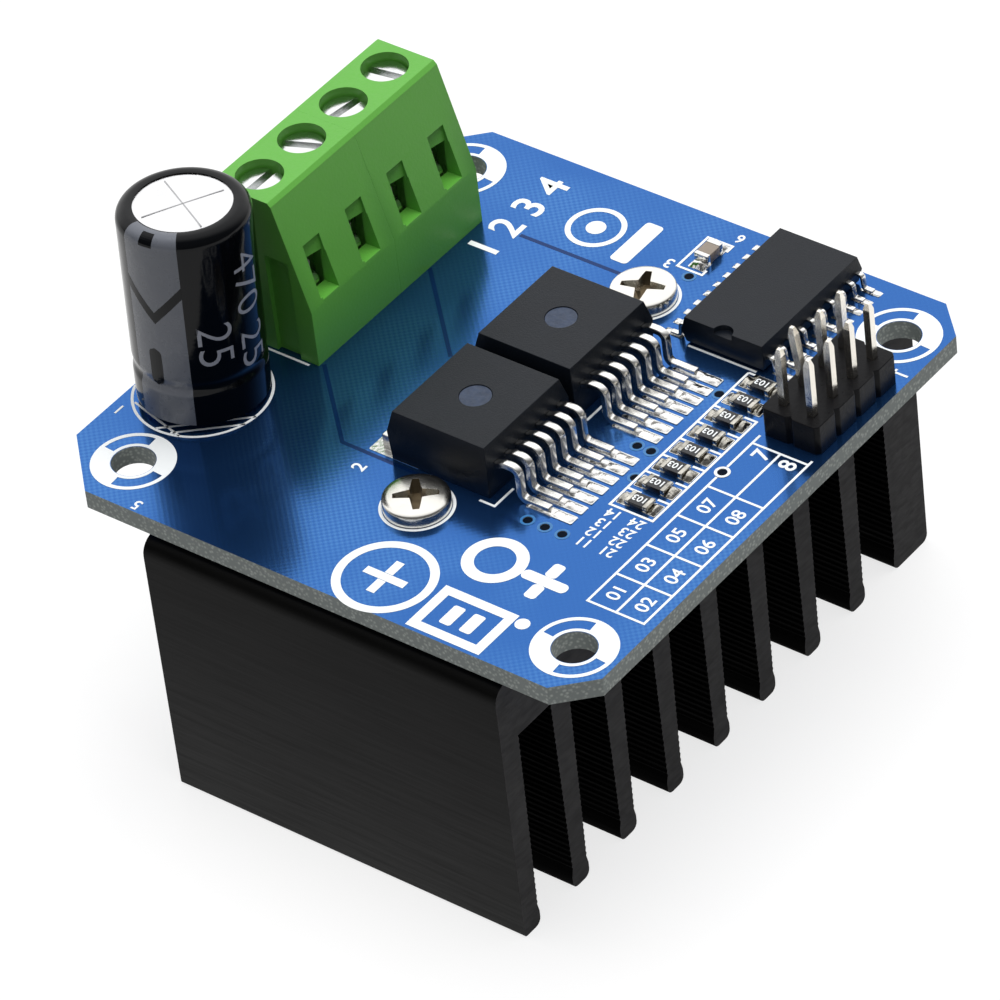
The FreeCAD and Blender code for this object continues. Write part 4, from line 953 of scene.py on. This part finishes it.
# Chip resistors: eight ceramic chips with a black glassy top, printed with plain digits. Each is
# held by solder that climbs its two metal ends.
resistor_glass = finish_material("resistor_glass", (0.014, 0.014, 0.016), 0.3, grain=5000, relief=0.008)
end_tin = finish_material("resistor_end_tin", (0.5, 0.48, 0.43), 0.2, 1.0, spread=0.9, grain=2200, broad=1700,
                          relief=0.1)
RESISTOR_X = 16.1
resistor_solder = bmesh.new()
resistor_marks = []
for number, y in enumerate(RESISTOR_ROWS, start=1):
    soften_node(f"resistor_{number}_body", resistor_glass, 0.03)
    soften_node(f"resistor_{number}_ends", end_tin, 0.05)
    for side in (-1, 1):
        left, right = sorted((RESISTOR_X + side * 0.96, RESISTOR_X + side * 1.7))
        add_pillow(resistor_solder, left, y - 0.66, right, y + 0.66, 0.34, solder_random, (8, 8))
    resistor_marks.append(flat_digits("resistor_digits", "103", (RESISTOR_X, y), 0.62, 180, 0.5, 0.02))
dress(link_mesh("resistor_solder", resistor_solder, 60), end_tin, "solder")
dress(join_meshes("resistor_digits", resistor_marks), print_ink, "resistor_ceramic")

# Chip capacitor: one plain fired ceramic chip beside the logic chip, between two metal ends. A
# fillet of solder at each end holds it to its pad.
ceramic_tan = finish_material("capacitor_ceramic", (0.26, 0.215, 0.175), 0.4, spread=0.1, grain=4000)
soften_node("chip_capacitor_body", ceramic_tan, 0.04)
soften_node("chip_capacitor_ends", solder_metal, 0.05)
ceramic_solder = bmesh.new()
for side in (-1, 1):
    front, back = sorted((20.7 + side * 0.85, 20.7 + side * 1.75))
    add_pillow(ceramic_solder, 2.85, front, 4.15, back, 0.5, solder_random, (8, 8))
dress(link_mesh("chip_capacitor_solder", ceramic_solder, 60), solder_metal, "solder")

# Solder joints: under the board, a cone of set solder round each pin, contact and wire. They
# hold the header, the terminals and the capacitor to the board.
soften_node("solder_joints", solder_metal, 0.1)

# Floor and light: a plain white table under a bright surround that darkens towards the front and
# the right, with one large soft lamp overhead. None of it is part of the module.
floor_mesh = bmesh.new()
floor_mesh.faces.new([floor_mesh.verts.new((x, y, 0)) for x, y in ((-3, -3), (3, -3), (3, 3), (-3, 3))])
floor = link_mesh("table_top", floor_mesh)
white_table = finish_material("white_table", (0.5, 0.5, 0.5), 0.8, spread=0.005, grain=600, relief=0.0)
table_tree = white_table.node_tree
table_shader = table_tree.nodes["Principled BSDF"]
table_shader.inputs["Specular IOR Level"].default_value = 0.1
table_shader.inputs["Emission Color"].default_value = (1, 1, 1, 1)


def seen_rays(tree):
    """1 for rays from the camera, a reflection or glass, and 0 for all others."""
    rays = add_node(tree, "ShaderNodeLightPath")
    return maths(tree, "MAXIMUM", rays.outputs["Is Camera Ray"],
                 maths(tree, "MAXIMUM", rays.outputs["Is Glossy Ray"], rays.outputs["Is Transmission Ray"]))


table_seen = seen_rays(table_tree)
table_tree.links.new(maths(table_tree, "MULTIPLY", table_seen, 0.76), table_shader.inputs["Emission Strength"])
table_tree.links.new(blend_colours(table_tree, table_seen, (0.22, 0.22, 0.22, 1), (0.27, 0.27, 0.27, 1)),
                     table_shader.inputs["Base Color"])
floor.data.materials.append(white_table)

lamp_data = bpy.data.lights.new("overhead_softbox", "AREA")
lamp_data.shape = "SQUARE"
lamp_data.size = 0.5
lamp_data.energy = 4.4
lamp = bpy.data.objects.new("overhead_softbox", lamp_data)
lamp.location = (0.0, 0.12, 0.77)
lamp.rotation_euler = (-lamp.location).to_track_quat("-Z", "Y").to_euler()
lamp.visible_glossy = False
bpy.context.scene.collection.objects.link(lamp)

surround = bpy.data.worlds.new("bright_surround")
surround.use_nodes = True
sky_tree = surround.node_tree
sky_shader = sky_tree.nodes["Background"]
sky_shader.inputs["Color"].default_value = (1, 1, 1, 1)
sky_way = add_node(sky_tree, "ShaderNodeTexCoord").outputs["Generated"]
sky_rays = add_node(sky_tree, "ShaderNodeLightPath")
back_left = add_node(sky_tree, "ShaderNodeVectorMath", {"operation": "DOT_PRODUCT"}, i0=sky_way,
                     i1=(-0.55, 0.62, 0.56))
reflected = remap(sky_tree, back_left.outputs["Value"], 0.12, 1.4, 0.05, 0.8,
                  {"interpolation_type": "SMOOTHSTEP"})
sky_height = add_node(sky_tree, "ShaderNodeSeparateXYZ", Vector=sky_way).outputs["Z"]
overhead = remap(sky_tree, sky_height, 0.03, 0.85)
unlit = add_node(sky_tree, "ShaderNodeMix", {"data_type": "FLOAT"}, i0=seen_rays(sky_tree), i2=overhead,
                 i3=reflected)
backdrop = add_node(sky_tree, "ShaderNodeMix", {"data_type": "FLOAT"}, i0=sky_rays.outputs["Is Camera Ray"],
                    i2=unlit.outputs[0], i3=1.0)
sky_tree.links.new(backdrop.outputs[0], sky_shader.inputs["Strength"])
bpy.context.scene.world = surround
